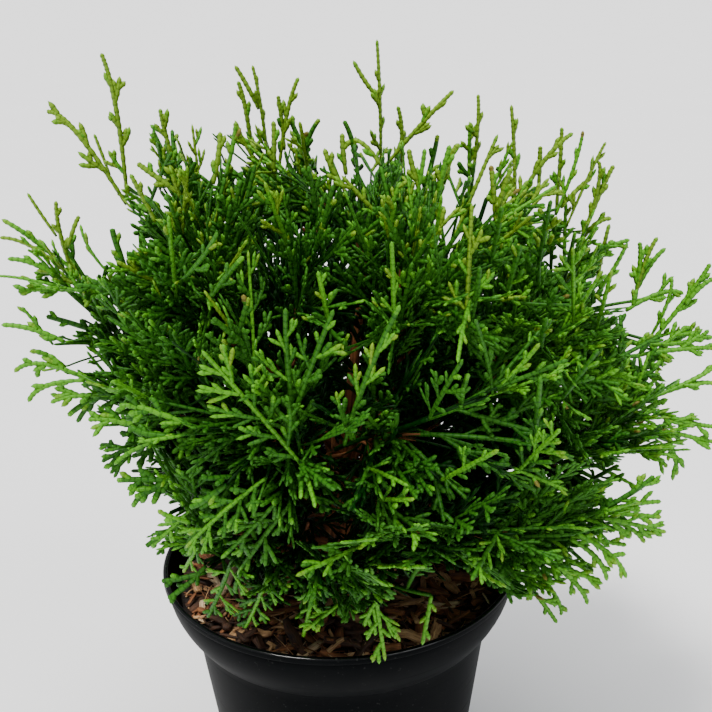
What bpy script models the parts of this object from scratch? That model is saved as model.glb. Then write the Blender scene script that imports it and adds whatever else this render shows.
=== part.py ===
"""Potted thuja: a young globe thuja in a round nursery pot, at its real size.

Metres, +Z up. The origin is the middle of the pot's flat underside, and the plant is seen from -Y.
The pot holds soil and a layer of bark mulch. The trunk stands on the soil with a root flare and runs
up through the crown, tapering and leaning. Boughs leave it in tiers, each one tapering limb, and each
bough's tip carries one mass of foliage: a stem with flat toothed sprays. Every mass keeps to its own
cell of the crown, and the sprays end on the crown's outline.
"""

import math
import random
from collections import namedtuple

import bmesh
import bpy
import numpy as np
from mathutils import Vector, noise

SEED = 11
GAP = 0.0003

# Pot: a two-litre nursery container with a flared collar above a small step
POT_HEIGHT = 0.130
RIM_RADIUS = 0.085
COLLAR_HEIGHT = 0.0274
COLLAR_FOOT_RADIUS = 0.0744
STEP_WIDTH = 0.003
BODY_TAPER = 0.134
WALL = 0.0013
FLOOR = 0.002
LIP_WIDTH = 0.0012
LIP_DEPTH = 0.003
EDGE = 0.0008
STEP_HEIGHT = POT_HEIGHT - COLLAR_HEIGHT
BODY_TOP_RADIUS = COLLAR_FOOT_RADIUS - STEP_WIDTH
BASE_RADIUS = BODY_TOP_RADIUS - BODY_TAPER * STEP_HEIGHT
TURNED_STEPS = 36
DRAIN_HOLES = 6
DRAIN_RADIUS = 0.004
DRAIN_RING_RADIUS = 0.045

# Soil and mulch inside it
SOIL_TOP = 0.1118
MULCH_TOP = 0.1195
MULCH_RINGS = 4
MULCH_LUMPS = 0.0018
LUMP_SIZE = 0.011

# Trunk: radius against height above the soil, and the way it leans
FLARE_HEIGHTS = (0.0, 0.005, 0.012, 0.030, 0.055, 0.085, 0.120, 0.150)
FLARE_RADII = (0.0105, 0.0084, 0.0070, 0.0057, 0.0044, 0.0031, 0.0022, 0.0016)
TRUNK_HEIGHT = FLARE_HEIGHTS[-1]
TRUNK_LEAN = Vector((0.013, -0.008))
LEAN_ONSET = 1.6
TRUNK_STATIONS = 12
STATION_CROWDING = 1.6

# Crown outline: how far it reaches from its centre at each elevation, to the right and to the left
CROWN_CENTRE = Vector((0.0, 0.0, 0.150))
REACH_ELEVATIONS = (-15, 0, 12, 28, 40, 50, 60, 70, 80, 90)
REACH_RIGHT = (0.112, 0.140, 0.178, 0.194, 0.200, 0.202, 0.210, 0.208, 0.206, 0.206)
REACH_LEFT = (0.088, 0.100, 0.118, 0.142, 0.182, 0.208, 0.225, 0.222, 0.210, 0.206)
FRONT_SHARE = 0.92
LOWEST_FRONT_SHARE = 0.75
LOW_ELEVATION = 30

# Tiers of boughs, lowest first. Angles are in degrees, azimuth from +X towards +Y. Flatness is how
# far a tier's sprays lie level, and spread is how widely they open from their stem
Tier = namedtuple("Tier", "name count azimuth tip_elevation start_elevation height flatness spread sprays")
TIERS = (
    Tier("skirt", 7, 10, 1, 26, 0.136, 0.5, 1.0, 5),
    Tier("low", 7, 36, 22, 34, 0.148, 0.4, 1.0, 5),
    Tier("mid", 5, 41, 43, 46, 0.162, 0.2, 0.9, 6),
    Tier("high", 5, 5, 64, 50, 0.178, 0.0, 0.75, 5),
)
LEADER_SPREAD = 0.75
LEADER_SPRAYS = 3
HEIGHT_STAGGER = 0.004
AZIMUTH_WANDER = 4
ELEVATION_WANDER = 3

# Limbs
LIMB_STATIONS = 6
LAST_BOUGH_STATION = 1
BOUGH_ROOT_RADIUS = 0.0023
BOUGH_TO_TRUNK = 0.6
JOINT_RADIUS = 0.0016
STEM_TIP_RADIUS = 0.0008
STEM_SHARE = 0.80
LEADER_DIRECTION = (20, 86)
LEADER_SHARE = 0.86
LIMB_MARGIN = 0.0006

# Sprays, and the lone shoots that stand out of the crown as (azimuth, elevation, reach)
GOLDEN_ANGLE = 137.5
FIRST_SPRAY_SHARE = 0.12
LAST_SPRAY_SHARE = 0.88
ROOT_ANGLE = 54
TIP_ANGLE = 34
LONGEST_SPRAY = 0.074
SHORTEST_SPRAY = 0.026
SPRAY_WIDTH_SHARE = 0.32
TIP_SPRAY_WIDTH_SHARE = 0.26
SHOOT_WIDTH_SHARE = 0.07
SPRAY_ARCH = 0.05
TEETH = 4
SHOOT_TEETH = 2
TOOTH_LEAN = 0.9
TOOTH_UNEVENNESS = 0.12
TOOTHED_SHARE = 0.80
LAST_TOOTH_SHARE = 0.97
SWELL_START = 0.18
SWELL_RUN = 0.72
SWELL_CURVE = 0.8
RIB_HALF_WIDTH = 0.0013
RIB_HALF_THICKNESS = 0.0006
RIB_WIDTH_LOSS = 0.5
RIB_THICKNESS_LOSS = 0.4
ANGLE_WANDER = 5
SHORTEST_SHARE = 0.9
LENGTH_STEP = 0.002
STEEPEST_LEVELLED = 0.2
SHOOT_ROOT_SHARE = 0.90
SHOOT_ROOT_STEP = 0.07
SHRINK_STEPS = (1.0, 0.85, 0.7, 0.55, 0.42)
TURN_STEPS = (0, 30, -30, 60, -60)
CELL_MARGIN = 0.0005
CELL_SEED_SHARE = 0.45
SAMPLE_STEPS = 4
SHOOTS = (
    (174, 66, 0.236), (180, 58, 0.226), (189, 52, 0.205), (186, 44, 0.200), (192, 37, 0.180),
    (152, 77, 0.213), (42, 82, 0.219), (12, 75, 0.206), (2, 67, 0.209), (5, 57, 0.211),
    (356, 44, 0.196), (0, 35, 0.203), (357, 26, 0.192), (345, 5, 0.153), (338, -3, 0.138),
    (100, 58, 0.212), (275, 64, 0.200),
)

# Finishes: base colour, roughness
FINISHES = {
    "pot_plastic": ((0.018, 0.021, 0.023), 0.45),
    "soil_earth": ((0.020, 0.013, 0.008), 0.95),
    "bark_mulch": ((0.085, 0.042, 0.020), 0.90),
    "thuja_bark": ((0.150, 0.070, 0.035), 0.85),
    "thuja_foliage": ((0.060, 0.150, 0.020), 0.55),
}


def clear_scene():
    """Removes every object that the scene starts with."""
    for old in list(bpy.data.objects):
        bpy.data.objects.remove(old)


def new_collection(name):
    """A collection linked to the scene."""
    collection = bpy.data.collections.new(name)
    bpy.context.scene.collection.children.link(collection)
    return collection


def material(name):
    """The named finish as a Principled material, made once."""
    if name in bpy.data.materials:
        return bpy.data.materials[name]
    colour, roughness = FINISHES[name]
    made = bpy.data.materials.new(name)
    made.use_nodes = True
    shader = made.node_tree.nodes["Principled BSDF"]
    shader.inputs["Base Color"].default_value = (*colour, 1.0)
    shader.inputs["Roughness"].default_value = roughness
    shader.inputs["Metallic"].default_value = 0.0
    return made


def mesh_object(name, mesh, collection, finish):
    """An object of this mesh, linked to the collection, with one finish."""
    made = bpy.data.objects.new(name, mesh)
    mesh.materials.clear()
    mesh.materials.append(material(finish))
    collection.objects.link(made)
    return made


def evaluated_mesh(source):
    """The object's mesh with its modifiers or its curve bevel applied, and loose caps welded."""
    bpy.context.view_layer.update()
    graph = bpy.context.evaluated_depsgraph_get()
    mesh = bpy.data.meshes.new_from_object(source.evaluated_get(graph))
    editable = bmesh.new()
    editable.from_mesh(mesh)
    bmesh.ops.remove_doubles(editable, verts=editable.verts, dist=1e-6)
    bmesh.ops.recalc_face_normals(editable, faces=editable.faces)
    editable.to_mesh(mesh)
    editable.free()
    return mesh


def keep_largest_piece(mesh):
    """Drops the loose scraps that joining leaves, and so fills any hollow that it sealed."""
    editable = bmesh.new()
    editable.from_mesh(mesh)
    seen, pieces = set(), []
    for first in editable.verts:
        if first in seen:
            continue
        seen.add(first)
        piece, front = [], [first]
        while front:
            vertex = front.pop()
            piece.append(vertex)
            near = [edge.other_vert(vertex) for edge in vertex.link_edges]
            fresh = [other for other in near if other not in seen]
            seen.update(fresh)
            front += fresh
        pieces.append(piece)
    pieces.sort(key=len)
    for scrap in pieces[:-1]:
        bmesh.ops.delete(editable, geom=scrap, context="VERTS")
    editable.to_mesh(mesh)
    editable.free()


def turned(name, profile, collection, finish):
    """A round piece: its (radius, height) profile, down the outer side, turned round Z by a Screw."""
    mesh = bpy.data.meshes.new(name)
    points = [(radius, 0.0, height) for radius, height in profile]
    mesh.from_pydata(points, [(i, i + 1) for i in range(len(points) - 1)], [])
    made = mesh_object(name, mesh, collection, finish)
    screw = made.modifiers.new("turn", "SCREW")
    screw.steps = screw.render_steps = TURNED_STEPS
    screw.use_merge_vertices = True
    screw.merge_threshold = 1e-5
    screw.use_smooth_shade = True
    return made


def body_inner_radius(height):
    """The pot's inner wall below its step."""
    return BASE_RADIUS + BODY_TAPER * height - WALL


def collar_inner_radius(height):
    """The pot's inner wall above its step."""
    share = (height - STEP_HEIGHT) / COLLAR_HEIGHT
    outer = COLLAR_FOOT_RADIUS + share * (RIM_RADIUS - LIP_WIDTH - COLLAR_FOOT_RADIUS)
    return outer - WALL


def build_pot(parts, cutters):
    """A tapered wall, a step out to the flared collar, a rolled lip and a floor with drain holes."""
    lip_inner = RIM_RADIUS - LIP_WIDTH - WALL
    ledge = STEP_HEIGHT + WALL
    profile = (
        (0.0, FLOOR),
        (body_inner_radius(FLOOR), FLOOR),
        (body_inner_radius(STEP_HEIGHT), ledge),
        (collar_inner_radius(ledge), ledge),
        (lip_inner, POT_HEIGHT - EDGE),
        (lip_inner + EDGE, POT_HEIGHT),
        (RIM_RADIUS - EDGE, POT_HEIGHT),
        (RIM_RADIUS, POT_HEIGHT - EDGE),
        (RIM_RADIUS, POT_HEIGHT - LIP_DEPTH),
        (RIM_RADIUS - LIP_WIDTH, POT_HEIGHT - LIP_DEPTH),
        (COLLAR_FOOT_RADIUS, STEP_HEIGHT),
        (BODY_TOP_RADIUS, STEP_HEIGHT),
        (BASE_RADIUS + EDGE * BODY_TAPER, EDGE),
        (BASE_RADIUS - EDGE, 0.0),
        (0.0, 0.0),
    )
    pot = turned("pot", profile, parts, "pot_plastic")
    for hole in range(DRAIN_HOLES):
        angle = 2 * math.pi * hole / DRAIN_HOLES
        place = (DRAIN_RING_RADIUS * math.cos(angle), DRAIN_RING_RADIUS * math.sin(angle), 0.0)
        bpy.ops.mesh.primitive_cylinder_add(
            vertices=12, radius=DRAIN_RADIUS, depth=4 * FLOOR, location=place
        )
        cutter = bpy.context.active_object
        cutter.name = f"drain_cutter_{hole + 1}"
        hide_cutter(cutter, cutters)
    holes = pot.modifiers.new("drain_holes", "BOOLEAN")
    holes.operation = "DIFFERENCE"
    holes.operand_type = "COLLECTION"
    holes.collection = cutters


def hide_cutter(cutter, cutters):
    """Moves a cutter to its own collection and hides it from renders."""
    for owner in list(cutter.users_collection):
        owner.objects.unlink(cutter)
    cutters.objects.link(cutter)
    cutter.hide_render = True
    cutter.display_type = "WIRE"


def build_soil(parts):
    """Soil that fills the pot to just under the mulch, a gap clear of the wall and the floor."""
    foot = FLOOR + GAP
    ledge = STEP_HEIGHT + WALL + GAP
    profile = (
        (0.0, SOIL_TOP),
        (collar_inner_radius(SOIL_TOP) - GAP, SOIL_TOP),
        (collar_inner_radius(ledge) - GAP, ledge),
        (body_inner_radius(STEP_HEIGHT) - GAP, ledge),
        (body_inner_radius(foot) - GAP, foot),
        (0.0, foot),
    )
    turned("soil", profile, parts, "soil_earth")


def build_mulch(parts):
    """A lumpy ring of bark mulch on the soil, open round the trunk's flare."""
    foot = SOIL_TOP + GAP
    opening = FLARE_RADII[0] + 2 * GAP
    edge_top = MULCH_TOP - MULCH_LUMPS
    outer = collar_inner_radius(foot) - GAP
    outer_top = collar_inner_radius(edge_top) - GAP
    top = [
        (opening + (outer_top - opening) * ring / MULCH_RINGS, MULCH_TOP)
        for ring in range(MULCH_RINGS + 1)
    ]
    top[-1] = (outer_top, edge_top)
    profile = [(opening, foot), *top, (outer, foot), (opening, foot)]
    ring = turned("mulch_ring", profile, parts, "bark_mulch")
    mesh = evaluated_mesh(ring)
    bpy.data.objects.remove(ring)
    for vertex in mesh.vertices:
        flat = math.hypot(vertex.co.x, vertex.co.y)
        if vertex.co.z > edge_top + GAP and opening + GAP < flat:
            vertex.co.z += MULCH_LUMPS * noise.noise(vertex.co / LUMP_SIZE)
    mesh_object("mulch", mesh, parts, "bark_mulch")


def limb(name, points, radii, sides_step, collection, finish):
    """A tapering limb: a curve through the points with these radii, made a closed mesh."""
    curve = bpy.data.curves.new(name, "CURVE")
    curve.dimensions = "3D"
    curve.bevel_depth = max(radii)
    curve.bevel_resolution = sides_step
    curve.use_fill_caps = True
    spline = curve.splines.new("POLY")
    spline.points.add(len(points) - 1)
    for target, place, radius in zip(spline.points, points, radii):
        target.co = (*place, 1.0)
        target.radius = radius / curve.bevel_depth
    source = bpy.data.objects.new(name + "_curve", curve)
    collection.objects.link(source)
    mesh = evaluated_mesh(source)
    bpy.data.objects.remove(source)
    mesh.shade_smooth()
    return mesh_object(name, mesh, collection, finish)


def trunk_place(height):
    """The trunk's middle at this height above the origin: upright at its foot, then leaning over."""
    share = (height - SOIL_TOP) / TRUNK_HEIGHT
    drift = share * share * (LEAN_ONSET - (LEAN_ONSET - 1) * share)
    return Vector((TRUNK_LEAN.x * drift, TRUNK_LEAN.y * drift, height))


def trunk_radius(height):
    """The trunk's radius at this height above the origin."""
    return float(np.interp(height - SOIL_TOP - GAP, FLARE_HEIGHTS, FLARE_RADII))


def build_trunk(parts, cutters):
    """The trunk on the soil, and the same shape a gap larger, which cuts the boughs' roots."""
    foot = SOIL_TOP + GAP
    shares = [(station / TRUNK_STATIONS) ** STATION_CROWDING for station in range(TRUNK_STATIONS + 1)]
    heights = [foot + TRUNK_HEIGHT * share for share in shares]
    places = [trunk_place(height) for height in heights]
    radii = [trunk_radius(height) for height in heights]
    limb("trunk", places, radii, 2, parts, "thuja_bark")
    clearance = limb("trunk_clearance", places, [r + GAP for r in radii], 2, cutters, "thuja_bark")
    hide_cutter(clearance, cutters)
    return clearance, places, radii


def direction(azimuth, elevation):
    """The unit vector at this azimuth and elevation in degrees."""
    turn, rise = math.radians(azimuth), math.radians(elevation)
    return Vector((math.cos(turn) * math.cos(rise), math.sin(turn) * math.cos(rise), math.sin(rise)))


def reach(towards):
    """How far the crown goes from its centre along this unit vector."""
    elevation = math.degrees(math.asin(max(-1.0, min(1.0, towards.z))))
    right = float(np.interp(elevation, REACH_ELEVATIONS, REACH_RIGHT))
    left = float(np.interp(elevation, REACH_ELEVATIONS, REACH_LEFT))
    flat = math.hypot(towards.x, towards.y) or 1.0
    side = 0.5 + 0.5 * towards.x / flat
    frontness = max(0.0, -towards.y)
    rise = min(max(elevation / LOW_ELEVATION, 0.0), 1.0)
    low = math.cos(math.pi / 2 * rise)
    share = 1 - frontness * ((1 - FRONT_SHARE) + low * (FRONT_SHARE - LOWEST_FRONT_SHARE))
    return (left + side * (right - left)) * share


Bough = namedtuple("Bough", "name points radii stem stem_radii flatness spread sprays")


def bough_path(root, start, tip):
    """Points on a curve that leaves the root along start and bends over to the tip."""
    control = root + start * (tip - root).length * 0.5
    path = []
    for station in range(LIMB_STATIONS + 1):
        t = station / LIMB_STATIONS
        path.append(root * (1 - t) ** 2 + control * (2 * t * (1 - t)) + tip * t * t)
    return path


def split_limb(name, path, root_radius, tier):
    """One path as a bough and the stem that goes on from it, parted by a gap on a straight stretch."""
    before, after = path[LAST_BOUGH_STATION], path[LAST_BOUGH_STATION + 1]
    run = (after - before).normalized()
    joint = (before + after) / 2
    bough = [*path[: LAST_BOUGH_STATION + 1], joint - run * GAP / 2]
    stem = [joint + run * GAP / 2, *path[LAST_BOUGH_STATION + 1 :]]
    radii = [float(r) for r in np.linspace(root_radius, JOINT_RADIUS, len(bough))]
    stem_radii = [float(r) for r in np.linspace(JOINT_RADIUS, STEM_TIP_RADIUS, len(stem))]
    return Bough(name, bough, radii, stem, stem_radii, tier.flatness, tier.spread, tier.sprays)


def plan_boughs(chance):
    """Every bough of every tier, and the one that goes on from the trunk's tip."""
    boughs = []
    for tier in TIERS:
        for number in range(tier.count):
            azimuth = tier.azimuth + 360 * number / tier.count + chance.uniform(-1, 1) * AZIMUTH_WANDER
            rise = tier.tip_elevation + chance.uniform(-1, 1) * ELEVATION_WANDER
            height = tier.height + HEIGHT_STAGGER * (number % 2)
            root = trunk_place(height)
            root_radius = min(BOUGH_ROOT_RADIUS, BOUGH_TO_TRUNK * trunk_radius(height))
            towards = direction(azimuth, rise)
            tip = CROWN_CENTRE + towards * reach(towards) * STEM_SHARE
            path = bough_path(root, direction(azimuth, tier.start_elevation), tip)
            name = f"{tier.name}_{number + 1}"
            boughs.append(split_limb(name, path, root_radius, tier))
    return boughs


def top_stem(trunk_places):
    """The leader: a stem that goes on from the trunk's tip, in line with it, to the crown's top."""
    run = (trunk_places[-1] - trunk_places[-2]).normalized()
    foot = trunk_places[-1] + run * GAP
    start = foot + run * 4 * JOINT_RADIUS
    towards = direction(*LEADER_DIRECTION)
    tip = CROWN_CENTRE + towards * reach(towards) * LEADER_SHARE
    stem = [foot, *[start.lerp(tip, step / 4) for step in range(5)]]
    stem_radii = [float(r) for r in np.linspace(JOINT_RADIUS, STEM_TIP_RADIUS, len(stem))]
    return Bough("leader", [], [], stem, stem_radii, 0.0, LEADER_SPREAD, LEADER_SPRAYS)


def stem_place(stem, share):
    """The point at this share of the stem's stations, and the way the stem runs there."""
    along = share * (len(stem) - 1)
    index = min(int(along), len(stem) - 2)
    run = stem[index + 1] - stem[index]
    return stem[index] + run * (along - index), run.normalized()


def spray_axes(run, turn, angle, flatness):
    """A side spray's own axis, and the direction across its blade, which is tilted towards level."""
    side = run.orthogonal().normalized()
    side = side * math.cos(turn) + run.cross(side) * math.sin(turn)
    axis = (run * math.cos(angle) + side * math.sin(angle)).normalized()
    normal = axis.cross(run).normalized()
    up = Vector((0, 0, 1)) - axis * axis.z
    if up.length > STEEPEST_LEVELLED:
        up = up.normalized() * math.copysign(1, normal.dot(up))
        normal = (normal * (1 - flatness) + up * flatness).normalized()
    return axis, normal.cross(axis).normalized()


def blade(root, axis, across, length, half_width, teeth):
    """Points and faces of a toothed spray: a rib with side teeth that thin to nothing at their tips."""
    normal = axis.cross(across)
    arch = SPRAY_ARCH * length

    def place(share, sideways, thick):
        rise = thick + arch * 4 * share * (1 - share)
        return root + axis * (length * share) + across * sideways + normal * rise

    points, faces = [], []
    for station in range(teeth + 1):
        share = TOOTHED_SHARE * station / teeth
        wide = RIB_HALF_WIDTH * (1 - RIB_WIDTH_LOSS * share)
        thick = RIB_HALF_THICKNESS * (1 - RIB_THICKNESS_LOSS * share)
        points += [place(share, wide, thick), place(share, -wide, thick)]
        points += [place(share, -wide, -thick), place(share, wide, -thick)]
    faces.append((0, 1, 2, 3))
    for tooth in range(teeth):
        here, after = 4 * tooth, 4 * tooth + 4
        faces.append((here, here + 1, after + 1, after))
        faces.append((here + 3, after + 3, after + 2, here + 2))
        middle = TOOTHED_SHARE * (tooth + 0.5) / teeth
        swell = math.sin(math.pi * (SWELL_START + SWELL_RUN * middle) ** SWELL_CURVE)
        for sign, near, far in ((1, 0, 3), (-1, 1, 2)):
            out = half_width * swell * (1 + TOOTH_UNEVENNESS * sign * (-1) ** tooth)
            along = min(middle + TOOTH_LEAN * out / length, LAST_TOOTH_SHARE)
            apex = len(points)
            points.append(place(along, sign * out, 0.0))
            faces.append((here + near, after + near, apex))
            faces.append((after + near, after + far, apex))
            faces.append((after + far, here + far, apex))
            faces.append((here + far, here + near, apex))
    last = 4 * teeth
    tip = len(points)
    points.append(place(1.0, 0.0, 0.0))
    for corner in range(4):
        faces.append((last + corner, last + (corner + 1) % 4, tip))
    return points, faces


def samples_of(points, faces):
    """Points spread over every face, for the tests of free space."""
    counts = range(SAMPLE_STEPS + 1)
    pairs = [(i / SAMPLE_STEPS, j / SAMPLE_STEPS) for i in counts for j in counts if i + j <= SAMPLE_STEPS]
    shares = [(first, second, 1 - first - second) for first, second in pairs]
    corners = []
    for face in faces:
        for last in range(2, len(face)):
            corners.append([points[face[0]], points[face[last - 1]], points[face[last]]])
    triangles = np.array(corners, dtype=float)
    return np.einsum("ks,tsd->tkd", np.array(shares), triangles).reshape(-1, 3)


class FreeSpace:
    """What a mass's sprays keep clear of: the other masses' cells, the limbs and the pot."""

    def __init__(self, boughs, trunk_places, trunk_radii):
        self.seeds = np.array([stem_place(bough.stem, CELL_SEED_SHARE)[0] for bough in boughs])
        starts, ends, radii = [], [], []
        lines = [(bough.points, bough.radii) for bough in boughs if bough.points]
        lines.append((trunk_places, trunk_radii))
        for places, widths in lines:
            starts += places[:-1]
            ends += places[1:]
            radii += widths[:-1]
        self.starts = np.array(starts)
        self.ends = np.array(ends)
        self.radii = np.array(radii)

    def in_cell(self, samples, owner):
        """Nearer to the owner's seed than to any other's, by a margin."""
        own = self.seeds[owner]
        for index, seed in enumerate(self.seeds):
            if index == owner:
                continue
            away = (seed - own) / np.linalg.norm(seed - own)
            if ((samples - (own + seed) / 2) @ away).max() > -CELL_MARGIN:
                return False
        return True

    def clear_of_limbs(self, samples):
        """Outside the trunk and every bough, by a margin."""
        along = self.ends - self.starts
        offset = samples[:, None, :] - self.starts[None]
        share = np.clip((offset * along).sum(2) / (along * along).sum(1), 0, 1)
        nearest = np.linalg.norm(offset - share[..., None] * along, axis=2)
        return bool((nearest > self.radii + LIMB_MARGIN).all())

    def clear_of_pot(self, samples):
        """Above the mulch inside the rim, above the rim, or outside it."""
        flat = np.hypot(samples[:, 0], samples[:, 1])
        height = samples[:, 2]
        inside = flat < RIM_RADIUS - 4 * LIP_WIDTH
        over = (flat >= RIM_RADIUS - 4 * LIP_WIDTH) & (flat < RIM_RADIUS + LIP_DEPTH)
        in_mulch = inside & (height < MULCH_TOP + 2 * MULCH_LUMPS)
        in_rim = over & (height < POT_HEIGHT + LIP_WIDTH)
        return not (in_mulch | in_rim).any()

    def fits(self, points, faces, owner):
        """Whether a blade keeps clear of everything that isn't its own mass."""
        if not self.in_cell(np.array(points), owner):
            return False
        samples = samples_of(points, faces)
        return self.clear_of_pot(samples) and self.clear_of_limbs(samples)


def outline_length(root, axis):
    """The length that brings a spray's tip to the crown's outline, within a spray's real lengths."""
    length = LONGEST_SPRAY
    while length > SHORTEST_SPRAY:
        out = root + axis * length - CROWN_CENTRE
        if out.length <= reach(out.normalized()):
            break
        length -= LENGTH_STEP
    return length


Spray = namedtuple("Spray", "root run turn angle length width_share teeth aim")


def planned_sprays(owner, bough, space, chance):
    """The sprays that one mass asks for: round its stem, at its tip, and its lone shoots."""
    first_turn = chance.uniform(0, 360)
    for number in range(bough.sprays):
        along = number / (bough.sprays - 1)
        share = FIRST_SPRAY_SHARE + along * (LAST_SPRAY_SHARE - FIRST_SPRAY_SHARE)
        root, run = stem_place(bough.stem, share)
        turn = first_turn + GOLDEN_ANGLE * number
        opening = (ROOT_ANGLE + along * (TIP_ANGLE - ROOT_ANGLE)) * bough.spread
        angle = opening + chance.uniform(-ANGLE_WANDER, ANGLE_WANDER)
        length = LONGEST_SPRAY * chance.uniform(SHORTEST_SHARE, 1.0)
        yield Spray(root, run, turn, angle, length, SPRAY_WIDTH_SHARE, TEETH, None)
    head, run = stem_place(bough.stem, 1.0)
    root = head - run * 4 * STEM_TIP_RADIUS
    yield Spray(root, run, first_turn, 0, LONGEST_SPRAY, TIP_SPRAY_WIDTH_SHARE, TEETH, run)
    share = SHOOT_ROOT_SHARE
    for azimuth, elevation, distance in SHOOTS:
        tip = CROWN_CENTRE + direction(azimuth, elevation) * distance
        if space.in_cell(np.array([tip]), owner):
            root, run = stem_place(bough.stem, share)
            share -= SHOOT_ROOT_STEP
            aim = (tip - root).normalized()
            yield Spray(root, run, first_turn, 0, (tip - root).length, SHOOT_WIDTH_SHARE, SHOOT_TEETH, aim)


def fitted_spray(spray, owner, bough, space):
    """The largest blade that keeps to its mass's space, turned a little if need be, or None."""
    opening = math.radians(spray.angle or TIP_ANGLE)
    for shrink in SHRINK_STEPS:
        for turn in TURN_STEPS:
            heading = math.radians(spray.turn + turn)
            axis, across = spray_axes(spray.run, heading, opening, bough.flatness)
            length = spray.length
            if spray.aim:
                axis = spray.aim
                across = (across - axis * across.dot(axis)).normalized()
            if spray.teeth == TEETH:
                length = min(length, outline_length(spray.root, axis))
            length *= shrink
            shape = blade(spray.root, axis, across, length, length * spray.width_share, spray.teeth)
            if space.fits(*shape, owner):
                return shape
    return None


def build_mass(owner, bough, space, chance, parts):
    """One mass of foliage: its stem with every blade that fits, joined into one solid."""
    name = f"foliage_{bough.name}"
    stem = limb(name + "_stem", bough.stem, bough.stem_radii, 0, parts, "thuja_foliage")
    loose = new_collection(name + "_sprays")
    for number, spray in enumerate(planned_sprays(owner, bough, space, chance)):
        shape = fitted_spray(spray, owner, bough, space)
        if shape is None:
            continue
        mesh = bpy.data.meshes.new(f"{name}_spray_{number + 1}")
        mesh.from_pydata(shape[0], [], shape[1])
        editable = bmesh.new()
        editable.from_mesh(mesh)
        bmesh.ops.recalc_face_normals(editable, faces=editable.faces)
        editable.to_mesh(mesh)
        editable.free()
        mesh_object(mesh.name, mesh, loose, "thuja_foliage")
    join = stem.modifiers.new("join", "BOOLEAN")
    join.operation = "UNION"
    join.operand_type = "COLLECTION"
    join.collection = loose
    mesh = evaluated_mesh(stem)
    keep_largest_piece(mesh)
    bpy.data.objects.remove(stem)
    for spray in list(loose.objects):
        bpy.data.objects.remove(spray)
    bpy.data.collections.remove(loose)
    mesh_object(name, mesh, parts, "thuja_foliage")


def build_bough(bough, clearance, parts):
    """A bough, its root cut back to a gap clear of the trunk."""
    made = limb(f"bough_{bough.name}", bough.points, bough.radii, 1, parts, "thuja_bark")
    cut = made.modifiers.new("seat_on_trunk", "BOOLEAN")
    cut.operation = "DIFFERENCE"
    cut.object = clearance


def main():
    """Builds the pot, what it holds, the trunk, and each bough with its mass."""
    clear_scene()
    chance = random.Random(SEED)
    parts = new_collection("potted_thuja")
    drain_cutters = new_collection("drain_cutters")
    cutters = new_collection("cutters")
    build_pot(parts, drain_cutters)
    build_soil(parts)
    build_mulch(parts)
    clearance, trunk_places, trunk_radii = build_trunk(parts, cutters)
    boughs = plan_boughs(chance) + [top_stem(trunk_places)]
    space = FreeSpace(boughs, trunk_places, trunk_radii)
    for owner, bough in enumerate(boughs):
        if bough.points:
            build_bough(bough, clearance, parts)
        build_mass(owner, bough, space, chance, parts)


main()
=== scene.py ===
"""Potted thuja, dressed: scale-leaved sprays, fibrous bark, shredded bark mulch and a scuffed nursery pot.

Metres, +Z up. The origin is the middle of the pot's flat underside, and the plant is seen from -Y.
The crown repeats the rule of the solids: trunk, boughs and stems stand where they stand there, and
each stem then carries many fine sprays within the same reach.
"""

import logging
import math
import random
from dataclasses import dataclass, field, fields
from enum import IntEnum

import bpy
import numpy as np
from mathutils import Matrix, Vector


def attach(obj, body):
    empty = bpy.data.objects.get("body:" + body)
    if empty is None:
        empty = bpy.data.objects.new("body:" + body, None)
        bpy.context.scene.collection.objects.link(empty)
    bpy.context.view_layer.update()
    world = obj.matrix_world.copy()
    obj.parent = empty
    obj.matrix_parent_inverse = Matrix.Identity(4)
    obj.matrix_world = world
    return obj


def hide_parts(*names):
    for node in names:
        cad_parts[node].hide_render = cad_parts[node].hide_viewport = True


Array = np.ndarray
Colour = tuple[float, float, float]
Place = tuple[float, float, float]
Rows = tuple[tuple[int, ...], ...]
Faces = tuple[Array, Array, Array]
Socket = bpy.types.NodeSocket
Material = bpy.types.Material
LOG = logging.getLogger("potted_thuja")
BODY = "root"
EYE = (0.0101, -0.466, 0.408)
NO_TRIANGLES = np.zeros((0, 3), int)

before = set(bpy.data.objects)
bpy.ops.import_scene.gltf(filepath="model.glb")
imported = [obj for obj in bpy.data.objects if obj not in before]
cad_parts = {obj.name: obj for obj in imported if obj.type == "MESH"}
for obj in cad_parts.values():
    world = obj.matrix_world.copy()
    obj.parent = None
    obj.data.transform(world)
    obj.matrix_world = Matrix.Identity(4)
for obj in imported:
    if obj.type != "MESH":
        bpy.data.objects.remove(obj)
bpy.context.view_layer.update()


def unit(vectors: Array) -> Array:
    """Every row divided by its own length."""
    return vectors / np.maximum(np.linalg.norm(vectors, axis=-1, keepdims=True), 1e-12)


def direction(azimuth: Array | float, elevation: Array | float) -> Array:
    """Unit vectors from angles.

    Args:
        azimuth: degrees from +X towards +Y.
        elevation: degrees above level.

    Returns:
        (cos a cos e, sin a cos e, sin e), one row for each pair of angles.
    """
    turn, rise = np.radians(azimuth), np.radians(elevation)
    return np.stack([np.cos(turn) * np.cos(rise), np.sin(turn) * np.cos(rise), np.sin(rise)], axis=-1)


def squared(vectors: Array, axis: Array) -> Array:
    """Unit vectors along what each row keeps at right angles to its axis."""
    return unit(vectors - axis * (vectors * axis).sum(axis=-1, keepdims=True))


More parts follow.
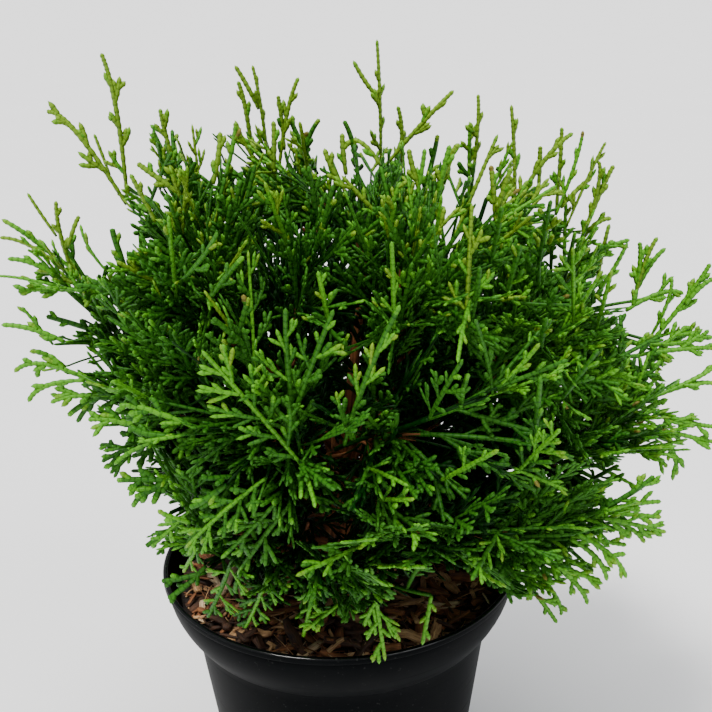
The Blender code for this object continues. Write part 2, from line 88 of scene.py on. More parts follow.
def bent_path(foot: Array, start: Array, tip: Array, pull: float, share: Array) -> Array:
    """A curve that leaves its foot along a given run and bends over to its tip.

    Place = foot (1 - s)^2 + control 2 s (1 - s) + tip s^2, for the share s of the way.

    Args:
        foot: where it starts.
        start: the unit vector along which it leaves.
        tip: where it ends.
        pull: how far along that vector the control point lies, against the distance to the tip.
        share: (n, 1) shares of the way.

    Returns:
        (n, 3) places.
    """
    control = foot + start * np.linalg.norm(tip - foot) * pull
    return foot * (1 - share) ** 2 + control * (2 * share * (1 - share)) + tip * share**2


def ring_quads(rings: int, steps: int, along: bool = True) -> Array:
    """The quads between rings of points.

    Args:
        rings: how many rings follow one another.
        steps: points in a ring, counted counter-clockwise as seen from the last ring.
        along: whether the rings run the way that turns the faces outward, or else the other way.

    Returns:
        (q, 4) corners.
    """
    row, here = np.arange(rings - 1)[:, None] * steps, np.arange(steps)[None]
    after = (here + 1) % steps
    corners = [row + here, row + after, row + steps + after, row + steps + here]
    return np.stack(corners if along else [corners[0], *corners[:0:-1]], axis=-1).reshape(-1, 4)


def copied(faces: Array, copies: int, size: int) -> Array:
    """The faces of one shape repeated for copies whose points, size each, follow one another."""
    return (faces[None] + (np.arange(copies) * size)[:, None, None]).reshape(-1, faces.shape[-1])


def lattice_noise(u: Array, v: Array, seed: int, cells: tuple[int, int] = (61, 61)) -> Array:
    """Smooth random values between -1 and 1 over a plane.

    Random numbers on a square lattice, joined inside each cell by the smooth step 3f^2 - 2f^3 along
    both axes. The lattice repeats after its number of cells.

    Args:
        u: first coordinate, in cells.
        v: second coordinate, in cells.
        seed: which lattice.
        cells: after how many cells the lattice repeats along u and v.

    Returns:
        One value for each pair of coordinates.
    """
    lattice = np.random.default_rng(seed).uniform(-1.0, 1.0, cells)
    first, second = np.floor(u).astype(int), np.floor(v).astype(int)
    across, along = u - first, v - second
    across = across * across * (3 - 2 * across)
    along = along * along * (3 - 2 * along)
    here, there = first % cells[0], (first + 1) % cells[0]
    low, high = second % cells[1], (second + 1) % cells[1]
    near = lattice[here, low] * (1 - across) + lattice[there, low] * across
    far = lattice[here, high] * (1 - across) + lattice[there, high] * across
    return near * (1 - along) + far * along


class Graph:
    """A material's node tree, with short ways to add and join nodes."""

    def __init__(self, name: str) -> None:
        """Makes the material with its Principled shader.

        Args:
            name: the material's name.
        """
        self.material = bpy.data.materials.new(name)
        self.material.use_nodes = True
        self.tree = self.material.node_tree
        self.shader = self.tree.nodes["Principled BSDF"]

    def add(self, kind: str, settings: dict | None = None, **inputs: object) -> bpy.types.Node:
        """Adds a node.

        Args:
            kind: the node's type, without the leading ShaderNode.
            settings: the node's own properties.
            inputs: socket values or sockets to join, by socket name with _ for a space.

        Returns:
            The new node.
        """
        node = self.tree.nodes.new("ShaderNode" + kind)
        for key, value in (settings or {}).items():
            setattr(node, key, value)
        for key, value in inputs.items():
            self.put(node, key.replace("_", " "), value)
        return node

    def put(self, node: bpy.types.Node, socket: str, value: object) -> None:
        """Joins an output to a node's input, or sets that input's value.

        Args:
            node: the node.
            socket: the input's name, or # and its number.
            value: an output, a number, a vector, or a colour without its alpha.
        """
        target = node.inputs[int(socket[1:])] if socket[:1] == "#" else node.inputs[socket]
        if isinstance(value, Socket):
            self.tree.links.new(value, target)
        else:
            target.default_value = (*value, 1.0) if target.type == "RGBA" else value

    def math(self, operation: str, first: object, second: object = 0.0) -> Socket:
        """The result of one Math node."""
        return self.add("Math", {"operation": operation}, **{"#0": first, "#1": second}).outputs[0]

    def mixed(self, share: object, first: object, second: object) -> Socket:
        """Two colours mixed by a share."""
        return self.add("Mix", {"data_type": "RGBA"}, **{"#0": share, "#6": first, "#7": second}).outputs[2]

    def noise(self, vector: object, scale: float, detail: float = 2.0) -> Socket:
        """A noise texture's value."""
        return self.add("TexNoise", Vector=vector, Scale=scale, Detail=detail).outputs["Fac"]

    def span(self, value: object, low: float, high: float, to_low: float, to_high: float) -> Socket:
        """A value mapped from one range to another, held at the ends."""
        ends = {"From_Min": low, "From_Max": high, "To_Min": to_low, "To_Max": to_high}
        return self.add("MapRange", Value=value, **ends).outputs[0]

    def place(self) -> Socket:
        """Object coordinates."""
        return self.add("TexCoord").outputs["Object"]

    def raised(self, height: object, strength: float, distance: float) -> None:
        """Joins a height to the shader's normal through a Bump node."""
        bump = self.add("Bump", Height=height, Strength=strength, Distance=distance)
        self.put(self.shader, "Normal", bump.outputs["Normal"])


@dataclass(frozen=True)
class ScaleLeaf:
    """Overlapping scale leaves: two close greens, darker where one pair of scales meets the next."""

    name: str
    shade: Colour
    light: Colour
    gloss: float = 0.20
    roughness: float = 0.46

    def material(self) -> Material:
        """Makes the leaf's material from the piece's own attribute (pairs along, ridge, brightness from
        freshness and painted light).

        Returns:
            The material.
        """
        graph = Graph(self.name)
        scale = graph.add("Attribute", {"attribute_name": "scale_leaf"}).outputs["Vector"]
        parts = graph.add("SeparateXYZ", Vector=scale)
        place = graph.place()
        joint = graph.math("FRACT", parts.outputs["X"])
        seam = graph.span(joint, 0.0, 0.30, 1.0, 0.0)
        patches = graph.span(graph.noise(place, 45.0), 0.30, 0.70, 0.0, 1.0)
        mottle = graph.noise(place, 700.0, 1.0)
        share = graph.math("MULTIPLY", patches, 0.45)
        # The third value lightens the green by the shoot's freshness and its painted light and shade.
        share = graph.math("ADD", share, graph.math("MULTIPLY", parts.outputs["Z"], 0.45))
        share = graph.math("ADD", share, graph.math("MULTIPLY", graph.math("SUBTRACT", mottle, 0.5), 0.5))
        share = graph.math("SUBTRACT", share, graph.math("MULTIPLY", seam, 0.62))
        share = graph.math("ADD", share, graph.math("MULTIPLY", parts.outputs["Y"], 0.12))
        held = graph.span(share, -0.08, 0.92, 0.0, 1.0)
        graph.put(graph.shader, "Base Color", graph.mixed(held, self.shade, self.light))
        graph.put(graph.shader, "Specular IOR Level", self.gloss)
        rough = graph.span(mottle, 0.3, 0.7, self.roughness - 0.06, self.roughness + 0.08)
        graph.put(graph.shader, "Roughness", rough)
        height = graph.math("SUBTRACT", graph.math("MULTIPLY", mottle, 0.35), seam)
        graph.raised(height, 0.5, 0.0003)
        return graph.material


@dataclass(frozen=True)
class FibrousBark:
    """Reddish-brown bark in long fibres that run along the limb."""

    name: str = "fibrous_bark"
    dark: Colour = (0.060, 0.019, 0.004)
    light: Colour = (0.300, 0.098, 0.020)

    def material(self) -> Material:
        """Makes the bark's material from the piece's own attribute (round the limb twice over, along it).

        Returns:
            The material.
        """
        graph = Graph(self.name)
        grain = graph.add("Attribute", {"attribute_name": "grain"}).outputs["Vector"]
        drawn = graph.add("Mapping", Vector=grain, Scale=(4.0, 4.0, 70.0)).outputs["Vector"]
        fibre = graph.noise(drawn, 1.0, 4.0)
        blotch = graph.noise(graph.place(), 160.0, 2.0)
        share = graph.math("ADD", graph.math("MULTIPLY", fibre, 1.3), graph.math("MULTIPLY", blotch, 0.6))
        held = graph.span(share, 0.70, 1.20, 0.0, 1.0)
        graph.put(graph.shader, "Base Color", graph.mixed(held, self.dark, self.light))
        graph.put(graph.shader, "Roughness", graph.span(fibre, 0.3, 0.7, 0.92, 0.72))
        graph.raised(fibre, 0.6, 0.0006)
        return graph.material


@dataclass(frozen=True)
class MouldedPlastic:
    """Black moulded plastic with a satin skin, fine scuffs, a film of dust and a few dried splashes."""

    name: str = "moulded_plastic"
    black: Colour = (0.0013, 0.0018, 0.0022)
    dust: Colour = (0.032, 0.033, 0.031)
    lip_foot: float = 0.1292

    def material(self) -> Material:
        """Makes the plastic's material.

        Returns:
            The material.
        """
        graph = Graph(self.name)
        place = graph.place()
        film = graph.span(graph.noise(place, 28.0, 5.0), 0.45, 0.85, 0.0, 0.08)
        specks = graph.span(graph.noise(place, 620.0, 1.0), 0.70, 0.76, 0.0, 0.55)
        scratches = graph.add("Mapping", Vector=place, Rotation=(0.3, 0.5, 0.2), Scale=(40.0, 40.0, 900.0))
        scuff = graph.span(graph.noise(scratches.outputs["Vector"], 1.0, 3.0), 0.60, 0.75, 0.0, 1.0)
        share = graph.math("MAXIMUM", film, specks)
        graph.put(graph.shader, "Base Color", graph.mixed(share, self.black, self.dust))
        rough = graph.math("ADD", graph.math("MULTIPLY", share, 0.5), graph.math("MULTIPLY", scuff, 0.10))
        height = graph.add("SeparateXYZ", Vector=place).outputs["Z"]
        lip = graph.span(height, self.lip_foot, self.lip_foot + 0.0004, 0.0, 1.0)
        rough = graph.math("ADD", rough, graph.math("MULTIPLY", lip, -0.16))
        graph.put(graph.shader, "Roughness", graph.math("ADD", rough, 0.45))
        grain = graph.noise(place, 2400.0, 1.0)
        graph.put(graph.shader, "Specular IOR Level", 0.020)
        graph.put(graph.shader, "Coat Weight", graph.math("MULTIPLY", lip, 0.80))
        graph.put(graph.shader, "Coat Roughness", 0.13)
        graph.raised(graph.math("ADD", graph.math("MULTIPLY", grain, 0.4), scuff), 0.10, 0.0002)
        return graph.material


@dataclass(frozen=True)
class PottingSoil:
    """Dark crumbly soil."""

    name: str = "potting_soil"
    dark: Colour = (0.010, 0.006, 0.004)
    light: Colour = (0.060, 0.030, 0.016)

    def material(self) -> Material:
        """Makes the soil's material.

        Returns:
            The material.
        """
        graph = Graph(self.name)
        place = graph.place()
        crumbs = graph.add("TexVoronoi", Vector=place, Scale=420.0).outputs["Distance"]
        damp = graph.noise(place, 90.0, 4.0)
        paler = graph.span(damp, 0.35, 0.75, 0.0, 1.0)
        share = graph.math("MULTIPLY", paler, graph.span(crumbs, 0.1, 0.6, 1.0, 0.3))
        graph.put(graph.shader, "Base Color", graph.mixed(share, self.dark, self.light))
        graph.put(graph.shader, "Roughness", graph.span(damp, 0.3, 0.7, 0.75, 0.95))
        graph.raised(graph.math("ADD", crumbs, damp), 0.8, 0.0012)
        return graph.material


@dataclass(frozen=True)
class SplitWood:
    """The torn face of a bark chip: fibres along its length, dark cracks and a paler broken edge."""

    name: str
    dark: Colour
    light: Colour

    def material(self) -> Material:
        """Makes the chip's material from the piece's own attribute (across, through, along).

        Returns:
            The material.
        """
        graph = Graph(self.name)
        grain = graph.add("Attribute", {"attribute_name": "grain"}).outputs["Vector"]
        drawn = graph.add("Mapping", Vector=grain, Scale=(1500.0, 1500.0, 130.0)).outputs["Vector"]
        fibre = graph.noise(drawn, 1.0, 3.0)
        stain = graph.noise(graph.place(), 210.0, 3.0)
        share = graph.math("ADD", graph.math("MULTIPLY", fibre, 1.1), graph.math("MULTIPLY", stain, 0.9))
        held = graph.span(share, 0.75, 1.30, 0.0, 1.0)
        graph.put(graph.shader, "Base Color", graph.mixed(held, self.dark, self.light))
        graph.put(graph.shader, "Roughness", graph.span(stain, 0.3, 0.7, 0.62, 0.88))
        graph.raised(fibre, 0.7, 0.0005)
        return graph.material


@dataclass
class Surface:
    """Points and faces being gathered for one piece, with each face's finish and the points' values."""

    points: list[Array] = field(default_factory=list)
    quads: list[Array] = field(default_factory=list)
    triangles: list[Array] = field(default_factory=list)
    quad_finish: list[Array] = field(default_factory=list)
    triangle_finish: list[Array] = field(default_factory=list)
    values: list[Array] = field(default_factory=list)
    count: int = 0

    def add(
        self,
        points: Array,
        quads: Array,
        triangles: Array,
        values: Array | None = None,
        quad_finish: Array | None = None,
        triangle_finish: Array | None = None,
    ) -> None:
        """Adds a patch whose faces count from its own first point.

        Args:
            points: (n, 3) places.
            quads: (q, 4) corners.
            triangles: (t, 3) corners.
            values: (n, 3) values carried by the points, or None for none.
            quad_finish: (q,) material slots, or None for the first.
            triangle_finish: (t,) material slots, or None for the first.
        """
        self.points.append(points)
        self.quads.append(quads.reshape(-1, 4) + self.count)
        self.triangles.append(triangles.reshape(-1, 3) + self.count)
        self.values.append(np.zeros((len(points), 3)) if values is None else values)
        self.quad_finish.append(np.zeros(quads.size // 4, int) if quad_finish is None else quad_finish)
        slots = np.zeros(triangles.size // 3, int) if triangle_finish is None else triangle_finish
        self.triangle_finish.append(slots)
        self.count += len(points)

    def piece(
        self, name: str, materials: list[Material], attribute: str = "", smooth: bool = True
    ) -> bpy.types.Object:
        """Turns what was gathered into a mesh object at the origin.

        Args:
            name: the object's name.
            materials: its material slots.
            attribute: the name under which the points' values are kept, or empty for none.
            smooth: whether it is shaded smooth.

        Returns:
            The new object, linked to the scene.
        """
        points = np.concatenate(self.points)
        quads, triangles = np.concatenate(self.quads), np.concatenate(self.triangles)
        corners = np.concatenate([quads.ravel(), triangles.ravel()])
        starts = np.concatenate([np.arange(len(quads)) * 4, quads.size + np.arange(len(triangles)) * 3])
        mesh = bpy.data.meshes.new(name)
        mesh.vertices.add(len(points))
        mesh.vertices.foreach_set("co", points.astype(np.float32).ravel())
        mesh.loops.add(len(corners))
        mesh.loops.foreach_set("vertex_index", corners.astype(np.int32))
        mesh.polygons.add(len(starts))
        mesh.polygons.foreach_set("loop_start", starts.astype(np.int32))
        slots = np.concatenate([*self.quad_finish, *self.triangle_finish])
        mesh.polygons.foreach_set("material_index", slots.astype(np.int32))
        values = np.concatenate(self.values).astype(np.float32)
        if attribute:
            carried = mesh.attributes.new(attribute, "FLOAT_VECTOR", "POINT")
            carried.data.foreach_set("vector", values.ravel())
        mesh.update(calc_edges=True)
        if smooth:
            mesh.shade_smooth()
        for material in materials:
            mesh.materials.append(material)
        made = bpy.data.objects.new(name, mesh)
        bpy.context.scene.collection.objects.link(made)
        return made

    def weight(self) -> int:
        """How many triangles the gathered faces come to."""
        return 2 * sum(len(group) for group in self.quads) + sum(len(group) for group in self.triangles)


def grown_rods(
    place: Array, across: Array, flat: Array, wide: Array, thick: Array, section: Array, tip: Array | None
) -> tuple[Array, Array, Array]:
    """Many rods at once, each a section carried along its own path.

    A corner's place is the path's place plus across * wide * (the section's first number) plus
    flat * thick * (its second). A quad closes the root, and the end closes in a point or a quad.

    Args:
        place: (n, s, 3) stations along every path.
        across: (n, s, 3) unit vectors along the section's width.
        flat: (n, s, 3) unit vectors along its thickness, so that across x flat runs along the path.
        wide: (n, s) half widths.
        thick: (n, s) half thicknesses.
        section: (4, 2) corners, counted from across towards flat.
        tip: (n, 3) end points, or None for a blunt end.

    Returns:
        Points, quads and triangles, in whole rods one after another.
    """
    count, stations = place.shape[:2]
    sideways = across[:, :, None, :] * (wide[:, :, None] * section[:, 0])[..., None]
    upwards = flat[:, :, None, :] * (thick[:, :, None] * section[:, 1])[..., None]
    rings = (place[:, :, None, :] + sideways + upwards).reshape(count, stations * 4, 3)
    last = 4 * (stations - 1)
    caps = [[3, 2, 1, 0]]
    fans = NO_TRIANGLES
    if tip is None:
        caps.append([last, last + 1, last + 2, last + 3])
    else:
        rings = np.concatenate([rings, tip[:, None, :]], axis=1)
        fans = np.array([[last + k, last + (k + 1) % 4, last + 4] for k in range(4)])
    size = rings.shape[1]
    quads = np.concatenate([ring_quads(stations, 4), np.array(caps)])
    return rings.reshape(-1, 3), copied(quads, count, size), copied(fans, count, size)


@dataclass(frozen=True)
class Tier:
    """One tier of boughs: where its boughs leave the trunk and end, and how its sprays lie."""

    name: str
    count: int
    azimuth: float
    tip_elevation: float
    start_elevation: float
    height: float
    flatness: float
    spread: float
    droop: float
    fans: float
    between: float


@dataclass
class Limb:
    """A bough and the stem that goes on from it, as one curve with a radius at every point."""

    name: str
    tier: Tier
    path: Array
    radii: Array
    joint: float

    def length(self) -> float:
        """The length of the path."""
        return np.linalg.norm(np.diff(self.path, axis=0), axis=1).sum()

    def at(self, shares: Array) -> tuple[Array, Array]:
        """Where the limb is and runs to.

        Args:
            shares: (n,) shares of its length.

        Returns:
            (n, 3) points and (n, 3) unit vectors.
        """
        stations = np.linspace(0.0, 1.0, len(self.path))
        points = np.stack([np.interp(shares, stations, self.path[:, k]) for k in range(3)], axis=-1)
        slopes = np.gradient(self.path, axis=0)
        runs = np.stack([np.interp(shares, stations, slopes[:, k]) for k in range(3)], axis=-1)
        return points, unit(runs)


@dataclass
class CrownRule:
    """Where the trunk, the boughs and their stems stand, and how far the crown reaches."""

    seed: int = 11
    foot: float = 0.1118
    flare_heights: tuple[float, ...] = (0.0, 0.005, 0.012, 0.030, 0.055, 0.085, 0.120, 0.150)
    flare_radii: tuple[float, ...] = (0.0105, 0.0084, 0.0070, 0.0057, 0.0044, 0.0031, 0.0022, 0.0016)
    lean: tuple[float, float] = (0.013, -0.008)
    lean_onset: float = 1.6
    centre: tuple[float, float, float] = (0.0, 0.0, 0.150)
    elevations: tuple[float, ...] = (-15, 0, 12, 28, 40, 50, 60, 70, 80, 90)
    reach_right: tuple[float, ...] = (0.112, 0.140, 0.178, 0.194, 0.200, 0.202, 0.210, 0.208, 0.206, 0.206)
    reach_left: tuple[float, ...] = (0.088, 0.100, 0.118, 0.142, 0.182, 0.208, 0.225, 0.222, 0.210, 0.206)
    front_share: float = 0.92
    lowest_front_share: float = 0.75
    low_elevation: float = 30.0
    height_stagger: float = 0.004
    azimuth_wander: float = 4.0
    elevation_wander: float = 3.0
    stem_share: float = 0.80
    root_radius: float = 0.0023
    root_to_trunk: float = 0.6
    joint_radius: float = 0.0016
    tip_radius: float = 0.0008
    joint: float = 0.25
    leader: tuple[float, float] = (20.0, 86.0)
    leader_share: float = 0.86
    stations: int = 48
    tiers: tuple[Tier, ...] = (
        Tier("skirt", 7, 10, 1, 26, 0.136, 0.5, 1.0, 0.22, 0.85, 2.0),
        Tier("low", 7, 36, 22, 34, 0.148, 0.4, 1.0, 0.08, 0.75, -6.0),
        Tier("mid", 5, 41, 43, 46, 0.162, 0.2, 0.9, -0.04, 0.50, -4.0),
        Tier("high", 5, 5, 64, 50, 0.178, 0.0, 0.75, -0.10, 0.25, 8.0),
    )

    def trunk_place(self, height: Array | float) -> Array:
        """The trunk's middle at a height: upright at its foot, then leaning over.

        With the share s of the way up, it lies off the foot by lean * s^2 (onset - (onset - 1) s).

        Args:
            height: heights above the ground.

        Returns:
            A place for each height.
        """
        share = (np.asarray(height) - self.foot) / self.flare_heights[-1]
        drift = share * share * (self.lean_onset - (self.lean_onset - 1) * share)
        return np.stack([self.lean[0] * drift, self.lean[1] * drift, height + 0 * drift], axis=-1)

    def trunk_radius(self, height: Array | float) -> Array:
        """The trunk's radius at a height."""
        return np.interp(np.asarray(height) - self.foot, self.flare_heights, self.flare_radii)

    def reach(self, towards: Array) -> Array:
        """How far the crown goes from its centre.

        Args:
            towards: (n, 3) unit vectors.

        Returns:
            The right and the left side's reach at each elevation, mixed by how far the vector points
            to the right and drawn in towards the front, most near level.
        """
        elevation = np.degrees(np.arcsin(np.clip(towards[..., 2], -1.0, 1.0)))
        right = np.interp(elevation, self.elevations, self.reach_right)
        left = np.interp(elevation, self.elevations, self.reach_left)
        flat = np.maximum(np.hypot(towards[..., 0], towards[..., 1]), 1e-9)
        side = 0.5 + 0.5 * towards[..., 0] / flat
        frontness = np.maximum(0.0, -towards[..., 1])
        low = np.cos(math.pi / 2 * np.clip(elevation / self.low_elevation, 0.0, 1.0))
        drawn_in = (1 - self.front_share) + low * (self.front_share - self.lowest_front_share)
        return (left + side * (right - left)) * (1 - frontness * drawn_in)

    def depth(self, points: Array) -> Array:
        """How far out points lie: 0 at the crown's centre, 1 on its outline."""
        out = points - np.array(self.centre)
        return np.linalg.norm(out, axis=-1) / self.reach(unit(out))

    def limbs(self) -> list[Limb]:
        """Every bough with its stem, tier by tier, and the leader that goes on from the trunk.

        Returns:
            The limbs.
        """
        chance = random.Random(self.seed)
        found = []
        share = np.linspace(0.0, 1.0, self.stations)[:, None]
        for tier in self.tiers:
            for number in range(tier.count):
                azimuth = tier.azimuth + 360 * number / tier.count
                azimuth += chance.uniform(-1, 1) * self.azimuth_wander
                rise = tier.tip_elevation + chance.uniform(-1, 1) * self.elevation_wander
                height = tier.height + self.height_stagger * (number % 2)
                root = self.trunk_place(height)
                thickest = min(self.root_radius, self.root_to_trunk * float(self.trunk_radius(height)))
                towards = direction(azimuth, rise)
                tip = np.array(self.centre) + towards * self.reach(towards) * self.stem_share
                path = bent_path(root, direction(azimuth, tier.start_elevation), tip, 0.5, share)
                marks = (thickest, self.joint_radius, self.tip_radius)
                radii = np.interp(share[:, 0], (0, self.joint, 1), marks)
                found.append(Limb(f"{tier.name}_{number + 1}", tier, path, radii, self.joint))
        found.append(self.leader_limb(share))
        return found

    def leader_limb(self, share: Array) -> Limb:
        """The stem that goes on from the trunk's tip to the crown's top.

        Args:
            share: (n, 1) shares of its way, from 0 to 1.

        Returns:
            The stem.
        """
        top = self.foot + self.flare_heights[-1]
        foot = self.trunk_place(top)
        run = unit(foot - self.trunk_place(top - 0.004))
        towards = direction(*self.leader)
        tip = np.array(self.centre) + towards * self.reach(towards) * self.leader_share
        path = bent_path(foot, run, tip, 0.4, share)
        radii = np.interp(share[:, 0], (0, 1), (self.joint_radius, self.tip_radius))
        tier = Tier("leader", 1, 0, 86, 86, top, 0.0, 0.75, -0.08, 0.2, 0.0)
        return Limb("leader", tier, path, radii, 0.0)


class SprayForm(IntEnum):
    """How a spray is filled: side shoots on a fan, a plume or a lone shoot, or none on a twig."""

    FAN = 0
    PLUME = 1
    SHOOT = 2
    TWIG = 3


class LeafTint(IntEnum):
    """A leaf's green, which is also its material slot."""

    # DEEP, GREEN and FRESH are one leaf green in painted shade, half light and full light, and also older
    # inner and fresher outer growth.
    DEEP = 0
    GREEN = 1
    FRESH = 2
    TIP = 3
    WORN = 4
    OLIVE = 5


@dataclass
class Shoots:
    """Leafy shoots, a row of every array each: root + lead t + bow t^2, for t from 0 to 1."""

    root: Array
    lead: Array
    bow: Array
    flat: Array
    length: Array
    half_width: Array
    slack: Array
    # brightness from freshness and painted light and shade; after the tints, each shoot's share of the bright
    # green
    fresh: Array

    def place(self, share: Array | float) -> Array:
        """Places at shares of the shoots, one share for each shoot."""
        share = np.broadcast_to(share, self.length.shape)[:, None]
        return self.root + self.lead * share + self.bow * share**2

    def run(self, share: Array | float) -> Array:
        """Unit vectors along the shoots at those shares."""
        share = np.broadcast_to(share, self.length.shape)[:, None]
        return unit(self.lead + 2 * self.bow * share)

    def scaled(self, scale: Array) -> "Shoots":
        """Cuts the shoots off.

        Args:
            scale: at what share of its length each ends.

        Returns:
            The same shoots.
        """
        self.lead = self.lead * scale[:, None]
        self.bow = self.bow * scale[:, None] ** 2
        self.length = self.length * scale
        return self

    def kept(self, which: Array) -> "Shoots":
        """The shoots that a mask or a list of rows names."""
        return Shoots(*(getattr(self, part.name)[which] for part in fields(self)))

    @staticmethod
    def joined(groups: list["Shoots"]) -> "Shoots":
        """All the groups' shoots as one."""
        return Shoots(*(np.concatenate([getattr(g, part.name) for g in groups]) for part in fields(Shoots)))


def dealt(counts: Array) -> tuple[Array, Array]:
    """The row that each of many new shoots grows on, and its number there, from how many each row bears."""
    owner = np.repeat(np.arange(len(counts)), counts)
    return owner, np.arange(counts.sum()) - np.repeat(np.cumsum(counts) - counts, counts)


def parabola(root: Array, middle: Array, tip: Array) -> tuple[Array, Array]:
    """The lead and bow of shoots that go through three places: root + lead t + bow t^2."""
    bow = 2 * (tip - 2 * middle + root)
    return tip - root - bow, bow


